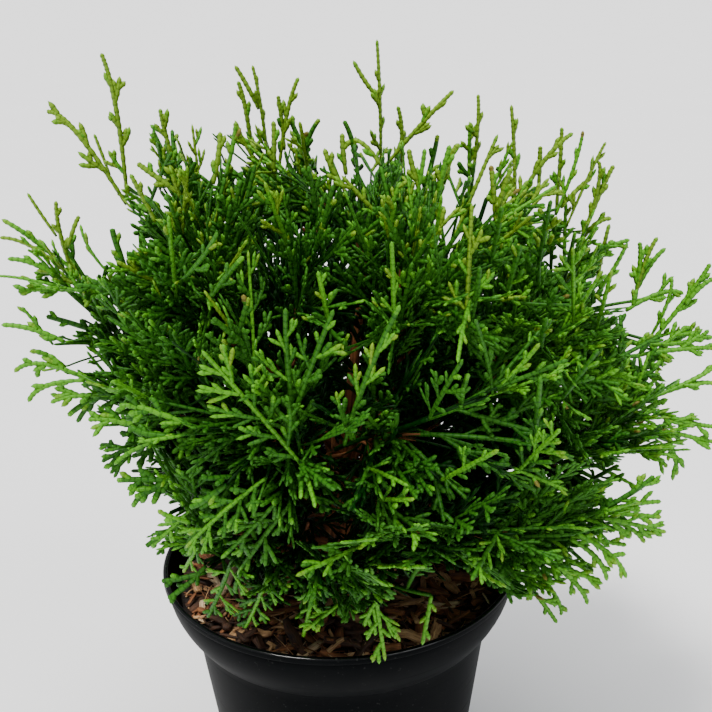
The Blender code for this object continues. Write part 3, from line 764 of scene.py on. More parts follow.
@dataclass
class Foliage:
    """The crown's leaves: sprays along every stem, side shoots on the sprays, branchlets on those."""

    rule: CrownRule
    limbs: list[Limb]
    seed: int = 23
    golden_angle: float = 137.5
    steep: float = 0.2
    tries: int = 12

    stem_spacing: float = 0.0085
    tip_sprays: int = 5
    longest_spray: float = 0.074
    root_angle: float = 54.0
    tip_angle: float = 30.0
    loose_angle: float = 9.0
    loose_bend: float = 0.035
    upper_elevation: float = 40.0
    upper_slack: tuple[float, float] = (-0.042, -0.006)
    lower_slack: tuple[float, float] = (-0.014, 0.004)
    lone_often: float = 0.40
    lone_slack: float = 0.016

    forks: int = 3
    fork_spacing: float = 0.0085
    fork_reach: float = 0.86
    fork_slack: tuple[float, float] = (-0.016, 0.003)
    twig_stations: int = 12
    twig_radii: tuple[float, float] = (0.0009, 0.0006)
    twig_lead: int = 12
    between_radii: tuple[float, float] = (0.0013, 0.0007)
    between_place: tuple[float, float] = (0.20, 0.32)
    between_reach: tuple[float, float] = (0.70, 0.80)
    between_joint: float = 0.12

    hearts: int = 4
    heart_place: tuple[float, float] = (0.08, 0.46)
    heart_length: tuple[float, float] = (0.042, 0.070)
    heart_slack: float = -0.020

    form_spacing: tuple[float, ...] = (0.0046, 0.0060, 0.0076, 1.0)
    form_width: tuple[float, ...] = (0.35, 0.27, 0.24, 0.0)
    form_first: tuple[float, ...] = (0.08, 0.10, 0.12, 1.0)
    side_angle_root: float = 50.0
    side_angle_tip: float = 32.0
    lone_closing: float = 0.68
    least_rib: float = 0.0132
    least_side: float = 0.0050
    least_lone_side: float = 0.0058
    least_kept: float = 0.003
    least_forked: float = 0.0052
    bare_end: float = 0.16
    branchlet_first: float = 0.0030
    branchlet_spacing: float = 0.0032
    branchlet_least: float = 0.0021
    branchlet_longest: float = 0.0080
    branchlet_angle: float = 36.0

    pair_length: float = 0.0029
    deep_pair_length: float = 0.0056
    half_width: float = 0.00100
    outline_stout: float = 1.22
    joint_narrowing: float = 0.79
    thickness: tuple[float, float] = (0.50, 0.62)
    tip_closing: float = 0.16
    cover_start: float = 0.27

    # Brightness offsets and painted light and shade that deal out the greens: the sides and top painted lit,
    # the back and the crown's left foot painted in shade.
    heart_shade: float = -0.12
    cover_shade: float = -0.06
    filler_shade: float = -0.03
    outline_shade: float = 0.02
    accent_shade: float = 0.07
    side_light: float = 0.50
    back_shade: float = 0.75
    top_light: float = 0.45
    top_light_from: float = 0.2
    foot_shade: float = 11.0
    foot_shade_below: float = 0.165
    green_from: float = 0.66
    fresh_from: float = 0.90
    olive_from: float = 0.265
    olive_over: float = 0.085
    tip_from: float = 0.80
    tip_often: float = 0.26
    tip_oftener: float = 3.0
    tip_oftener_from: float = 0.28
    worn_from: float = 0.86
    worn_often: float = 0.007

    rim_radius: float = 0.085
    rim_band: float = 0.008
    rim_top: float = 0.1315
    mulch_top: float = 0.1225
    open_above: float = 0.1375
    lowest_twig: float = 0.10
    shoot_run: float = 0.060
    mass_slack: float = 0.01
    standing_slack: float = 0.02
    named_slack: float = 0.03
    low_left_trim: float = 0.10
    edge_trim: float = 0.08
    edge_band: float = 0.30
    sight: tuple[float, float, float] = (0.0, 0.935, -0.354)
    eye: Place = EYE
    mulch_window: tuple[tuple[float, float], ...] = (
        (-0.084, 0.010), (-0.074, -0.013), (-0.065, -0.026), (-0.053, -0.029), (-0.041, -0.037),
        (-0.018, -0.053), (0.000, -0.066), (0.020, -0.061), (0.025, -0.038), (0.033, -0.022),
        (0.043, -0.011), (0.058, -0.007), (0.070, -0.023), (0.073, -0.032), (0.080, -0.200),
    )
    trunk_window: tuple[float, float, float] = (0.203, 0.247, 0.0024)
    sky_margin: float = 0.001
    sky_windows: Rows = (
        (-98, 301, 17, 10, -67), (16, 337, 9, 6, -80), (66, 307, 14, 3, -82), (140, 247, 9, 7, -115),
        (-117, 258, 10, 5, 153), (-88, 155, 10, 6, -118), (-99, 181, 9, 5, -160), (151, 170, 6, 6, -142),
        (-117, 235, 7, 4, -158), (140, 173, 7, 4, -66), (109, 297, 7, 3, -107), (160, 205, 6, 4, -67),
        (-123, 251, 6, 3, 176), (-105, 280, 6, 3, 145), (123, 171, 7, 3, 174), (132, 162, 4, 4, -135),
        (155, 231, 7, 2, -168), (147, 160, 5, 2, -161), (-77, 315, 9, 4, -48), (40, 326, 9, 4, -131),
        (126, 264, 9, 3, -74), (0, 328, 6, 4, 168), (-74, 325, 7, 3, 168), (-38, 325, 5, 3, -90),
        (8, 319, 6, 2, -96), (155, 223, 6, 3, -153), (149, 152, 6, 3, 170), (53, 290, 6, 3, -87),
        (17, 317, 6, 2, -115), (52, 305, 5, 2, -87), (135, 136, 6, 2, 166), (117, 129, 3, 2, 160),
        (-103, 232, 3, 2, -57), (-97, 180, 3, 2, 174), (-96, 252, 3, 2, -81), (-104, 198, 5, 2, -161),
        (-101, 213, 4, 2, -54), (136, 233, 4, 2, 179), (-66, 125, 10, 8, 0), (99, 277, 5, 3, -119),
        (-50, 320, 5, 2, -95), (-82, 337, 6, 2, -108), (-19, 323, 4, 2, -84), (120, 254, 3, 2, 175),
    )
    hollow_front: float = -0.035
    hollows: Rows = (
        (44, 201, 14, 17, 0), (-9, 144, 10, 5, 0), (5, 189, 12, 6, 0), (-16, 244, 13, 7, 0),
        (-64, 208, 8, 5, 0),
    )
    shoots: tuple[tuple[float, float, float], ...] = (
        (121, 83, 0.186), (73, 79, 0.188), (100, 58, 0.200), (60, 62, 0.196), (135, 62, 0.192),
        (275, 64, 0.196), (250, 62, 0.190), (300, 60, 0.188), (85, 40, 0.185), (115, 34, 0.170),
        (55, 36, 0.186), (148, 46, 0.168), (30, 50, 0.184), (90, 20, 0.165), (130, 16, 0.145),
    )
    outline: Rows = (
        (-92, 367, -88, 344, -87, 305, 3, 2), (-114, 345, -103, 337, -85, 306, -9, 2),
        (-100, 333, -98, 326, -95, 315, 10, 3), (-74, 327, -71, 320, -66, 308, -50, 1),
        (-72, 342, -70, 328, -65, 305, 17, 1), (-71, 331, -66, 327, -56, 319, -50, 1),
        (-76, 332, -74, 324, -68, 308, 18, 1), (-39, 342, -40, 334, -43, 322, -49, 2),
        (-34, 344, -35, 337, -39, 323, -40, 2), (-125, 313, -121, 305, -115, 294, -13, 3),
        (-115, 308, -115, 294, -111, 273, -7, 1), (-95, 311, -97, 308, -101, 299, -50, 3),
        (-95, 308, -93, 299, -87, 289, -50, 2), (-133, 305, -122, 297, -111, 286, -26, 2),
        (-134, 298, -123, 295, -110, 285, -29, 2), (-125, 291, -121, 288, -114, 279, -23, 1),
        (-132, 289, -122, 287, -111, 280, -29, 2), (-135, 283, -122, 281, -101, 275, -33, 2),
        (-129, 275, -116, 276, -87, 274, -30, 1), (-123, 269, -119, 271, -112, 274, -26, 3),
        (-120, 263, -108, 259, -93, 253, -26, 1), (-133, 266, -121, 264, -108, 258, -45, 2),
        (-128, 269, -124, 263, -117, 252, -31, 1), (-83, 306, -82, 300, -79, 288, -50, 1),
        (-61, 310, -61, 295, -62, 275, -50, 1), (-54, 312, -55, 301, -59, 280, -50, 1),
        (-42, 303, -48, 296, -57, 283, -50, 1), (-128, 248, -114, 251, -91, 239, -52, 1),
        (-124, 253, -118, 252, -110, 246, -42, 2), (-123, 236, -115, 243, -99, 245, -55, 2),
        (-116, 233, -103, 236, -83, 234, -49, 0), (-110, 226, -105, 230, -97, 234, -47, 2),
        (-107, 222, -102, 229, -95, 234, -45, 2), (-91, 242, -83, 242, -68, 238, -88, 0),
        (-102, 198, -84, 206, -59, 213, -33, 0), (-82, 225, -76, 230, -67, 234, -92, 2),
        (-75, 254, -66, 253, -48, 245, -104, 0), (-71, 247, -65, 244, -55, 243, -106, 1),
        (-84, 214, -70, 214, -46, 212, -83, 0), (-79, 202, -71, 210, -57, 213, -83, 1),
        (-83, 164, -76, 169, -63, 177, -48, 1), (-66, 209, -62, 206, -54, 203, -98, 2),
        (-52, 216, -46, 219, -38, 225, -110, 1), (-58, 188, -51, 200, -41, 216, -93, 0),
        (-77, 149, -69, 150, -57, 153, -52, 1), (-75, 140, -67, 146, -57, 156, -52, 1),
        (57, 344, 43, 330, 25, 310, 38, 2), (32, 336, 34, 323, 33, 302, 50, 2),
        (23, 366, 24, 339, 24, 308, 50, 2), (12, 357, 17, 348, 23, 340, 50, 3),
        (11, 338, 16, 335, 21, 328, -50, 2), (7, 330, 11, 319, 13, 303, 50, 2),
        (7, 340, 7, 334, 8, 324, -47, 1), (-0, 335, 2, 329, 6, 321, -50, 1),
        (-4, 331, -10, 321, -14, 306, 50, 2), (-13, 350, -19, 334, -24, 308, 50, 2),
        (-23, 342, -22, 334, -21, 317, 50, 2), (-18, 332, -14, 322, -6, 305, 50, 1),
        (-34, 356, -31, 337, -29, 311, 50, 2), (-42, 356, -37, 347, -32, 336, 50, 3),
        (-41, 349, -38, 335, -36, 311, 50, 2), (-20, 343, -20, 335, -21, 323, -32, 1),
        (32, 334, 33, 328, 36, 318, -50, 2), (38, 334, 37, 327, 35, 316, -50, 2),
        (50, 324, 47, 310, 42, 294, 41, 2), (48, 334, 46, 326, 43, 313, -44, 2),
        (52, 334, 48, 328, 46, 318, -41, 3), (67, 343, 67, 325, 64, 295, 31, 2),
        (72, 343, 69, 339, 68, 334, 28, 3), (64, 328, 64, 318, 64, 296, 35, 1),
        (81, 339, 83, 317, 84, 291, 25, 2), (63, 327, 64, 320, 65, 308, -50, 1),
        (71, 326, 68, 317, 65, 305, -50, 1), (94, 321, 94, 315, 94, 303, 22, 2),
        (104, 330, 94, 321, 82, 303, 0, 2), (102, 330, 102, 316, 101, 291, 16, 2),
        (108, 331, 105, 316, 98, 295, 0, 2), (112, 327, 110, 323, 106, 316, 0, 3),
        (118, 326, 112, 313, 103, 290, 0, 2), (120, 324, 117, 321, 113, 317, 0, 3),
        (115, 318, 116, 310, 113, 294, 0, 2), (122, 316, 117, 305, 110, 285, 0, 2),
        (113, 311, 107, 306, 100, 298, 0, 1), (123, 292, 116, 290, 108, 280, 2, 0),
        (131, 283, 120, 279, 106, 270, 0, 1), (130, 282, 124, 269, 116, 256, 0, 2),
        (122, 290, 120, 279, 118, 264, 2, 2), (135, 282, 136, 273, 135, 255, 0, 2),
        (143, 284, 138, 272, 134, 252, 0, 2), (147, 279, 141, 272, 136, 261, 0, 3),
        (148, 268, 147, 256, 140, 239, -8, 2), (154, 260, 144, 261, 129, 253, -8, 0),
        (163, 275, 155, 261, 139, 238, -12, 2), (165, 269, 159, 265, 153, 257, -14, 3),
        (159, 249, 154, 242, 145, 238, -12, 2), (164, 246, 152, 240, 126, 241, -15, 0),
        (153, 246, 150, 240, 143, 234, -9, 2), (166, 239, 151, 239, 128, 236, -20, 1),
        (164, 235, 154, 228, 132, 218, -29, 2), (165, 226, 153, 226, 137, 220, -29, 2),
        (166, 206, 152, 209, 128, 218, -29, 1), (166, 199, 151, 203, 124, 211, -30, 1),
        (151, 183, 149, 193, 143, 208, -30, 0), (149, 183, 142, 189, 128, 197, -22, 0),
        (126, 209, 118, 202, 104, 193, -80, 0), (139, 181, 127, 180, 109, 176, -50, 1),
        (134, 181, 121, 185, 100, 190, -76, 0), (135, 182, 126, 183, 112, 185, -65, 1),
        (126, 175, 120, 182, 107, 188, -74, 1), (120, 172, 111, 174, 96, 177, -70, 1),
        (117, 165, 110, 176, 96, 186, -84, 1), (110, 162, 105, 173, 94, 182, -81, 1),
        (108, 161, 98, 165, 83, 172, -79, 0), (107, 139, 102, 149, 91, 159, -63, 1),
        (105, 104, 103, 113, 94, 127, -19, 1), (103, 101, 94, 115, 81, 132, -21, 1),
        (91, 107, 87, 115, 79, 126, -15, 1), (85, 105, 82, 113, 76, 123, -15, 1),
    )
    accents: Rows = (
        (-10, -109, 231, -42, -118, 280, 0), (-10, -112, 233, -10, -130, 229, 2),
        (-10, -112, 233, -5, -133, 227, 2), (-10, -112, 233, 2, -132, 233, 1),
        (5, -107, 238, 25, -123, 296, 2), (8, -107, 240, 4, -121, 260, 2),
        (-11, -100, 232, -13, -117, 294, 1), (-12, -106, 252, 3, -114, 292, 1),
        (13, -111, 231, 27, -132, 234, 0), (17, -106, 215, 37, -128, 210, 0),
        (17, -109, 217, 29, -132, 229, 1), (-24, -106, 225, -57, -98, 192, 0),
        (-19, -104, 216, -43, -103, 190, 0), (-16, -102, 212, -38, -97, 179, 1),
        (14, -93, 180, 19, -91, 133, 0), (3, -80, 156, -14, -86, 145, 0),
        (11, -102, 194, -14, -118, 191, 0), (22, -108, 204, 9, -129, 208, 1),
        (64, -92, 193, 50, -121, 189, 0), (52, -88, 286, 44, -123, 275, 2), (50, -91, 275, 52, -87, 321, 1),
        (62, -100, 257, 74, -108, 276, 1), (38, -88, 162, 34, -92, 141, 0),
        (-41, -86, 179, -56, -66, 139, 0), (-27, -87, 173, -40, -70, 136, 0),
        (-54, -84, 185, -64, -70, 164, 1), (-7, -93, 176, -15, -76, 135, 1),
        (-55, -89, 204, -73, -85, 185, 0), (-33, -98, 280, -40, -115, 300, 1),
        (1, -95, 278, -2, -112, 305, 1), (24, -92, 276, 23, -106, 313, 2), (70, -98, 222, 80, -121, 249, 0),
        (-66, -95, 253, -75, -111, 267, 1), (40, -105, 222, 58, -128, 245, 1),
        (-61, -52, 222, -69, -82, 266, 0),
    )
    fillers: Rows = (
        (-55, -66, 249, -63, -96, 284, 0), (-56, -64, 243, -71, -94, 274, 0),
        (-51, -71, 247, -54, -101, 281, 0), (-59, -60, 238, -79, -90, 262, 0),
        (-69, -53, 247, -86, -83, 270, 1), (-67, -60, 259, -71, -90, 286, 1),
        (-44, -78, 251, -32, -108, 283, 1), (-51, -72, 237, -64, -102, 259, 0),
        (71, -30, 251, 70, -48, 287, 1), (65, -35, 255, 59, -53, 286, 1), (77, -30, 257, 80, -48, 288, 0),
        (86, -40, 250, 90, -58, 275, 0), (56, -40, 257, 49, -58, 282, 0), (78, -55, 256, 82, -73, 273, 0),
        (109, -35, 234, 115, -53, 251, 0), (106, -40, 225, 112, -58, 244, 0),
        (-75, -10, 306, -61, -28, 331, 1), (-66, -15, 302, -51, -33, 328, 1),
        (-59, -20, 299, -43, -38, 325, 1), (-39, -20, 299, -29, -38, 326, 1),
        (-31, -15, 295, -23, -33, 321, 1), (-73, 5, 309, -69, -13, 333, 1),
        (-49, -5, 300, -38, -23, 324, 1), (97, 0, 268, 95, -18, 299, 1), (103, 0, 265, 103, -18, 292, 1),
        (108, -50, 192, 115, -68, 208, 0), (36, -101, 245, 46, -122, 276, 0),
        (86, -89, 246, 96, -102, 271, 1), (-57, -70, 283, -54, -90, 320, 1),
        (-52, -86, 295, -36, -100, 316, 1), (-42, -92, 289, -27, -106, 309, 1),
        (-28, -100, 273, -38, -114, 290, 1), (62, -62, 292, 64, -76, 317, 1),
        (84, -44, 287, 85, -58, 315, 0), (97, -52, 264, 92, -68, 299, 0), (75, -98, 233, 74, -112, 265, 2),
        (60, -94, 251, 51, -110, 286, 2), (78, -88, 267, 78, -98, 282, 1), (52, -84, 273, 54, -98, 301, 2),
        (42, -80, 283, 38, -94, 316, 1), (67, -71, 280, 70, -85, 305, 0), (107, -49, 259, 109, -61, 288, 1),
        (47, -106, 251, 48, -120, 270, 2),
    )

    def __post_init__(self) -> None:
        """Starts the seeded random numbers."""
        self.rng = np.random.default_rng(self.seed)

    def stem_sprays(self, limb: Limb) -> tuple[Shoots, Array]:
        """The sprays of one stem.

        Each leaves the stem a golden angle round from the one before, opening less towards the tip,
        its blade tilted towards level by the tier's flatness.

        Args:
            limb: the bough and its stem.

        Returns:
            The sprays' ribs, and each one's form.
        """
        rng = self.rng
        bare = limb.joint * 0.6
        count = int(limb.length() * (1 - bare) / self.stem_spacing)
        shares = np.linspace(bare, 0.97, count) + rng.uniform(-0.01, 0.01, count)
        shares = np.concatenate([shares, np.full(self.tip_sprays, 0.985)])
        count += self.tip_sprays
        along = np.clip((shares - limb.joint) / (1 - limb.joint), 0, 1)
        root, run = limb.at(shares)
        turn = np.radians(rng.uniform(0, 360) + self.golden_angle * np.arange(count))
        opening = (self.root_angle + along * (self.tip_angle - self.root_angle)) * limb.tier.spread
        opening = opening + rng.uniform(-self.loose_angle, self.loose_angle, count)
        opening[-self.tip_sprays :] *= np.linspace(0.15, 1.3, self.tip_sprays)
        axis, flat = self.spray_axes(run, turn, np.radians(opening), limb.tier.flatness)
        span = self.longest_spray * rng.uniform(0.62, 1.0, count) * (0.72 + 0.28 * along)
        form = np.where(rng.random(count) < limb.tier.fans, SprayForm.FAN, SprayForm.PLUME)
        upper = limb.tier.tip_elevation > self.upper_elevation
        lone = (rng.random(count) < self.lone_often) & (along > 0.5) & upper
        slack = rng.uniform(*(self.upper_slack if upper else self.lower_slack), count)
        slack = slack + np.where(lone, self.lone_slack, 0.0)
        ribs = self.shoot_rows(root, axis, flat, span, limb.tier.droop, slack)
        return self.within(ribs), np.where(lone, SprayForm.SHOOT, form)

    def fork_sprays(self, fork: Limb) -> tuple[Shoots, Array]:
        """The sprays of one forked twig, shorter than the stem's, and one at its tip.

        Args:
            fork: the twig.

        Returns:
            The sprays' ribs, and each one's form.
        """
        rng = self.rng
        count = max(3, int(fork.length() / self.fork_spacing))
        shares = np.append(np.linspace(0.10, 0.95, count) + rng.uniform(-0.03, 0.03, count), 0.97)
        count += 1
        root, run = fork.at(shares)
        turn = np.radians(rng.uniform(0, 360) + self.golden_angle * np.arange(count))
        loose = rng.uniform(-self.loose_angle, self.loose_angle, count)
        opening = np.radians((50 - 18 * shares) * fork.tier.spread + loose)
        opening[-1] *= 0.15
        axis, flat = self.spray_axes(run, turn, opening, fork.tier.flatness)
        span = self.longest_spray * rng.uniform(0.42, 0.78, count)
        form = np.where(rng.random(count) < fork.tier.fans, SprayForm.FAN, SprayForm.PLUME)
        upper = fork.tier.tip_elevation > self.upper_elevation
        slack = rng.uniform(*(self.upper_slack if upper else self.fork_slack), count)
        return self.within(self.shoot_rows(root, axis, flat, span, fork.tier.droop, slack)), form

    def heart_sprays(self, stem: Limb) -> tuple[Shoots, Array]:
        """The dark sprays close to the trunk, which fill the crown's middle.

        Args:
            stem: what they grow on.

        Returns:
            The sprays' ribs, and each one's form.
        """
        rng = self.rng
        count = self.hearts
        root, run = stem.at(rng.uniform(*self.heart_place, count))
        turn = np.radians(rng.uniform(0, 360) + self.golden_angle * np.arange(count))
        axis, flat = self.spray_axes(run, turn, np.radians(rng.uniform(28, 70, count)), 0.0)
        span = rng.uniform(*self.heart_length, count)
        ribs = self.shoot_rows(root, axis, flat, span, 0.0, np.full(count, self.heart_slack))
        ribs.fresh = np.full(count, self.heart_shade)
        return self.within(ribs), np.full(count, SprayForm.FAN)

    def spray_axes(self, run: Array, turn: Array, angle: Array, flatness: float) -> tuple[Array, Array]:
        """How sprays leave a stem, as the solids' rule has it.

        Args:
            run: (n, 3) unit vectors along the stem.
            turn: how far round the stem each spray is, in radians.
            angle: how far each opens from the stem, in radians.
            flatness: how far the blades are tilted towards level, from 0 to 1.

        Returns:
            Each spray's axis and the normal of its blade.
        """
        side = np.array([Vector(row).orthogonal().normalized() for row in run])
        side = side * np.cos(turn)[:, None] + np.cross(run, side) * np.sin(turn)[:, None]
        axis = unit(run * np.cos(angle)[:, None] + side * np.sin(angle)[:, None])
        normal = unit(np.cross(axis, run))
        up = np.array([0.0, 0.0, 1.0]) - axis * axis[:, 2:]
        steep = np.linalg.norm(up, axis=1) < self.steep
        up = unit(up) * np.sign((normal * up).sum(axis=1))[:, None]
        levelled = unit(normal * (1 - flatness) + up * flatness)
        return axis, np.where(steep[:, None], normal, levelled)

    def shoot_rows(
        self, root: Array, axis: Array, flat: Array, length: Array, droop: float, slack: Array
    ) -> Shoots:
        """Ribs that bow down or up.

        Args:
            root: (n, 3) places.
            axis: (n, 3) unit vectors.
            flat: (n, 3) normals of the blades.
            length: their lengths.
            droop: how far their tips sink, against their length.
            slack: how far past the crown's outline each may reach.

        Returns:
            The ribs.
        """
        bend = np.array([0.0, 0.0, -1.0]) * (droop * length)[:, None]
        bend = bend + self.rng.normal(0, self.loose_bend, root.shape) * length[:, None]
        lead = axis * length[:, None] - bend * 0.35
        count = len(length)
        thick = np.full(count, self.half_width)
        return Shoots(root, lead, bend, squared(flat, axis), length, thick, slack, np.zeros(count))

    def within(self, shoots: Shoots) -> Shoots:
        """Shortens shoots until their tips lie inside the outline by their slack and out of the windows.

        The outline is drawn in a little low on the left, and at the rim that is seen from the front.

        Args:
            shoots: what is shortened.

        Returns:
            The same shoots.
        """
        centre = np.array(self.rule.centre)
        scale = np.ones(len(shoots.length))
        for _ in range(self.tries):
            tip = shoots.root + shoots.lead * scale[:, None] + shoots.bow * scale[:, None] ** 2
            out = tip - centre
            towards = unit(out)
            low_left = np.clip(-1.4 * towards[:, 0], 0, 1) * np.clip((0.68 - towards[:, 2]) / 0.2, 0, 1)
            edge = np.exp(-((towards @ np.array(self.sight)) / self.edge_band) ** 2)
            limit = self.rule.reach(towards) * (1 - self.low_left_trim * low_left)
            over = np.linalg.norm(out, axis=1) - limit * (1 - self.edge_trim * edge) - shoots.slack
            hidden = self.in_sky(tip) & (shoots.slack < self.named_slack)
            scale = np.where((over > 0) | hidden, scale * 0.93, scale)
        return shoots.scaled(scale)

    def ribs_between(self, root: Array, tip: Array, flat: Array, bend: float, fresh: float) -> Shoots:
        """Ribs from given roots to given tips, slightly bowed.

        Args:
            root: (n, 3) places.
            tip: (n, 3) places.
            flat: (n, 3) vectors that the blades face.
            bend: the spread of the bow, against the length.
            fresh: how much brighter than their place makes them.

        Returns:
            The ribs.
        """
        reach = tip - root
        length = np.linalg.norm(reach, axis=1)
        bow = self.rng.normal(0, bend, reach.shape) * length[:, None]
        parts = (self.half_width, self.named_slack, fresh)
        thick, slack, shade = (np.full(len(length), part) for part in parts)
        return Shoots(root, reach - bow, bow, squared(flat, unit(reach)), length, thick, slack, shade)

    def outline_sprays(self) -> Shoots:
        """The sprays that make the crown's outline as seen from the front.

        A row of the table gives tip, middle and root as (x, z) pairs, the plane y they lie in, all in
        millimetres, and the spray's form. The rib is the parabola through the three places.

        Returns:
            The sprays' ribs.
        """
        rows = np.array(self.outline, float)
        places = rows[:, :6].reshape(-1, 3, 2) / 1000
        depth = np.broadcast_to(rows[:, 6, None] / 1000, places.shape[:2])
        tip, middle, root = np.moveaxis(np.stack([places[..., 0], depth, places[..., 1]], axis=-1), 1, 0)
        facing = np.array([0.0, -1.0, 0.3]) + self.rng.normal(0, 0.35, tip.shape)
        lead, bow = parabola(root, middle, tip)
        length = np.linalg.norm(tip - root, axis=1)
        parts = (self.half_width * self.outline_stout, self.named_slack, self.outline_shade)
        thick, slack, shade = (np.full(len(rows), part) for part in parts)
        return Shoots(root, lead, bow, squared(facing, unit(tip - root)), length, thick, slack, shade)

    def front_rows(self) -> tuple[Array, Array, Array]:
        """Roots, tips and forms of the front's bright sprays and, after them, of the fillers."""
        rows = np.array([*self.accents, *self.fillers])
        return rows[:, :3] / 1000, rows[:, 3:6] / 1000, rows[:, 6]

    def named_shoots(self, stems: list[Limb]) -> tuple[Shoots, Array, Array]:
        """The shoots that stand out of the crown, the bright sprays of its front and its outline.

        A shoot that stands out is rooted on the stem that passes nearest to a point a run's length
        short of its tip, below it on top of the crown and inward of it at the sides. Its form goes
        by its slope: fans low down, plumes, and thin shoots on top.

        Args:
            stems: every stem.

        Returns:
            Their ribs, their forms, and which mass each belongs to.
        """
        azimuth, elevation, reach = np.array(self.shoots).T
        towards = direction(azimuth, elevation)
        tips = np.array(self.rule.centre) + towards * reach[:, None]
        places = np.concatenate([stem.path[len(stem.path) // 3 :] for stem in stems])
        sizes = [len(stem.path) - len(stem.path) // 3 for stem in stems]
        hosts = np.repeat(np.arange(len(stems)), sizes)
        upright = np.interp(elevation, (5, 30, 45, 60), (-0.5, -0.45, 0.0, 0.9))
        wanted = tips - unit(towards + np.array([0.0, 0.0, 1.0]) * upright[:, None]) * self.shoot_run
        nearest = np.argmin(np.linalg.norm(wanted[:, None] - places[None], axis=2), axis=1)
        loose = self.rng.normal(0, 1, tips.shape)
        standing = self.ribs_between(places[nearest], tips, np.cross(towards, loose), 0.03, 0.01)
        standing.slack[:] = self.standing_slack
        form = np.where(elevation > 15, SprayForm.PLUME, SprayForm.FAN)
        form = np.where(elevation > 49, SprayForm.SHOOT, form)
        root, tip, kind = self.front_rows()
        facing = np.array([0.0, -1.0, 0.45]) + self.rng.normal(0, 0.25, root.shape)
        front = self.ribs_between(root, tip, facing, 0.06, self.accent_shade)
        front.fresh[len(self.accents) :] = self.filler_shade
        edge = self.outline_sprays()
        rooted = np.concatenate([root, edge.root])
        near = np.argmin(np.linalg.norm(rooted[:, None] - places[None], axis=2), axis=1)
        names = [limb.name for limb in self.limbs]
        owners = np.array([names.index(stems[k].name) for k in hosts[np.concatenate([nearest, near])]])
        ribs = Shoots.joined([standing, front, edge])
        return ribs, np.concatenate([form, kind, np.array(self.outline)[:, 7]]), owners

    def covers(self, stems: list[Limb]) -> tuple[Shoots, Array]:
        """Scale leaves that cover the outer part of every stem and twig, where the bark isn't bare yet.

        Args:
            stems: the stems and twigs.

        Returns:
            The parabolas through each one's place at the cover's start, halfway on and at its tip,
            and their forms.
        """
        marks = np.array([self.cover_start, 0.5 + 0.5 * self.cover_start, 1.0])
        root, middle, tip = np.moveaxis(np.array([stem.at(marks)[0] for stem in stems]), 1, 0)
        lead, bow = parabola(root, middle, tip)
        flat = unit(np.cross(lead, self.rng.normal(0, 1, lead.shape)))
        slender = np.array([len(stem.path) for stem in stems]) <= self.twig_stations
        thick = self.half_width * np.where(slender, 0.95, 1.18)
        slack, shade = np.full(len(stems), self.named_slack), np.full(len(stems), self.cover_shade)
        shoots = Shoots(root, lead, bow, flat, np.linalg.norm(tip - root, axis=1), thick, slack, shade)
        return shoots, np.full(len(stems), SprayForm.TWIG)

    def accent_twigs(self, stems: list[Limb]) -> list[Limb]:
        """Twigs that reach from the nearest stem to the root of every spray of the tables.

        Args:
            stems: every stem.

        Returns:
            The twigs, each named after its stem's mass.
        """
        share = np.linspace(0.0, 1.0, self.twig_stations)[:, None]
        radii = np.linspace(*self.twig_radii, self.twig_stations)
        found = []
        for root in np.unique(np.concatenate([self.front_rows()[0], self.outline_roots()]), axis=0):
            gaps = [np.linalg.norm(stem.path - root, axis=1) for stem in stems]
            near = int(np.argmin([gap.min() for gap in gaps]))
            host, at = stems[near], max(int(np.argmin(gaps[near])) - self.twig_lead, self.twig_lead // 2)
            foot, run = host.path[at], unit(host.path[at] - host.path[at - 2])
            found.append(Limb(host.name, host.tier, bent_path(foot, run, root, 0.4, share), radii, 0.0))
        return found

    def outline_roots(self) -> Array:
        """Where the outline's sprays are rooted, without the twigs that stand on other sprays."""
        rows = np.array([row for row in self.outline if row[7] != SprayForm.TWIG])
        return rows[:, [4, 6, 5]] / 1000

    def side_shoots(self, ribs: Shoots, form: Array) -> tuple[Shoots, Array]:
        """The side shoots of sprays, one on each side in turn.

        Their length follows the leaf-shaped swell sin(pi (0.18 + 0.72 s)^0.8) of the rib's share s,
        or 1.05 - 0.7 s on a lone shoot, and each bends forward to run more along its rib.

        Args:
            ribs: the sprays' ribs.
            form: each rib's form.

        Returns:
            The side shoots, and the row of each one's rib.
        """
        rng = self.rng
        spacing = np.array(self.form_spacing)[form] * rng.uniform(0.88, 1.15, len(form))
        first = np.array(self.form_first)[form]
        longest = np.array(self.form_width)[form] * ribs.length
        last = np.where(form == SprayForm.SHOOT, 0.84, 0.94)
        owner, number = dealt(np.maximum(((last - first) * ribs.length / spacing).astype(int), 0))
        share = first[owner] + (number + rng.uniform(0, 0.5, len(owner))) * (spacing / ribs.length)[owner]
        lone = form[owner] == SprayForm.SHOOT
        swell = np.where(lone, 1.05 - 0.70 * share, np.sin(math.pi * (0.18 + 0.72 * share) ** 0.8))
        length = longest[owner] * swell * rng.uniform(0.50, 1.22, len(owner))
        length = np.maximum(length, np.where(lone, self.least_lone_side, self.least_side))
        opening = np.radians(self.side_angle_root + share * (self.side_angle_tip - self.side_angle_root))
        opening = opening * np.where(lone, self.lone_closing, 1.0) + rng.normal(0, 0.13, len(owner))
        return self.branched(ribs, owner, share, number, length, opening, 0.45, 0.06), owner

    def ended(self, ribs: Shoots, sides: Shoots, owner: Array) -> Shoots:
        """Cuts ribs off soon after their last side shoot, apart from the named ones.

        Args:
            ribs: the sprays' ribs.
            sides: their side shoots.
            owner: the row of each side shoot's rib.

        Returns:
            The ribs that are still long enough.
        """
        far = np.linalg.norm(sides.root - ribs.root[owner], axis=1) / ribs.length[owner]
        last = np.zeros(len(ribs.length))
        np.maximum.at(last, owner, far)
        named = ribs.slack >= self.standing_slack
        ribs = ribs.scaled(np.where(named, 1.0, np.minimum(1.0, last + self.bare_end)))
        return ribs.kept(ribs.length > self.least_side)

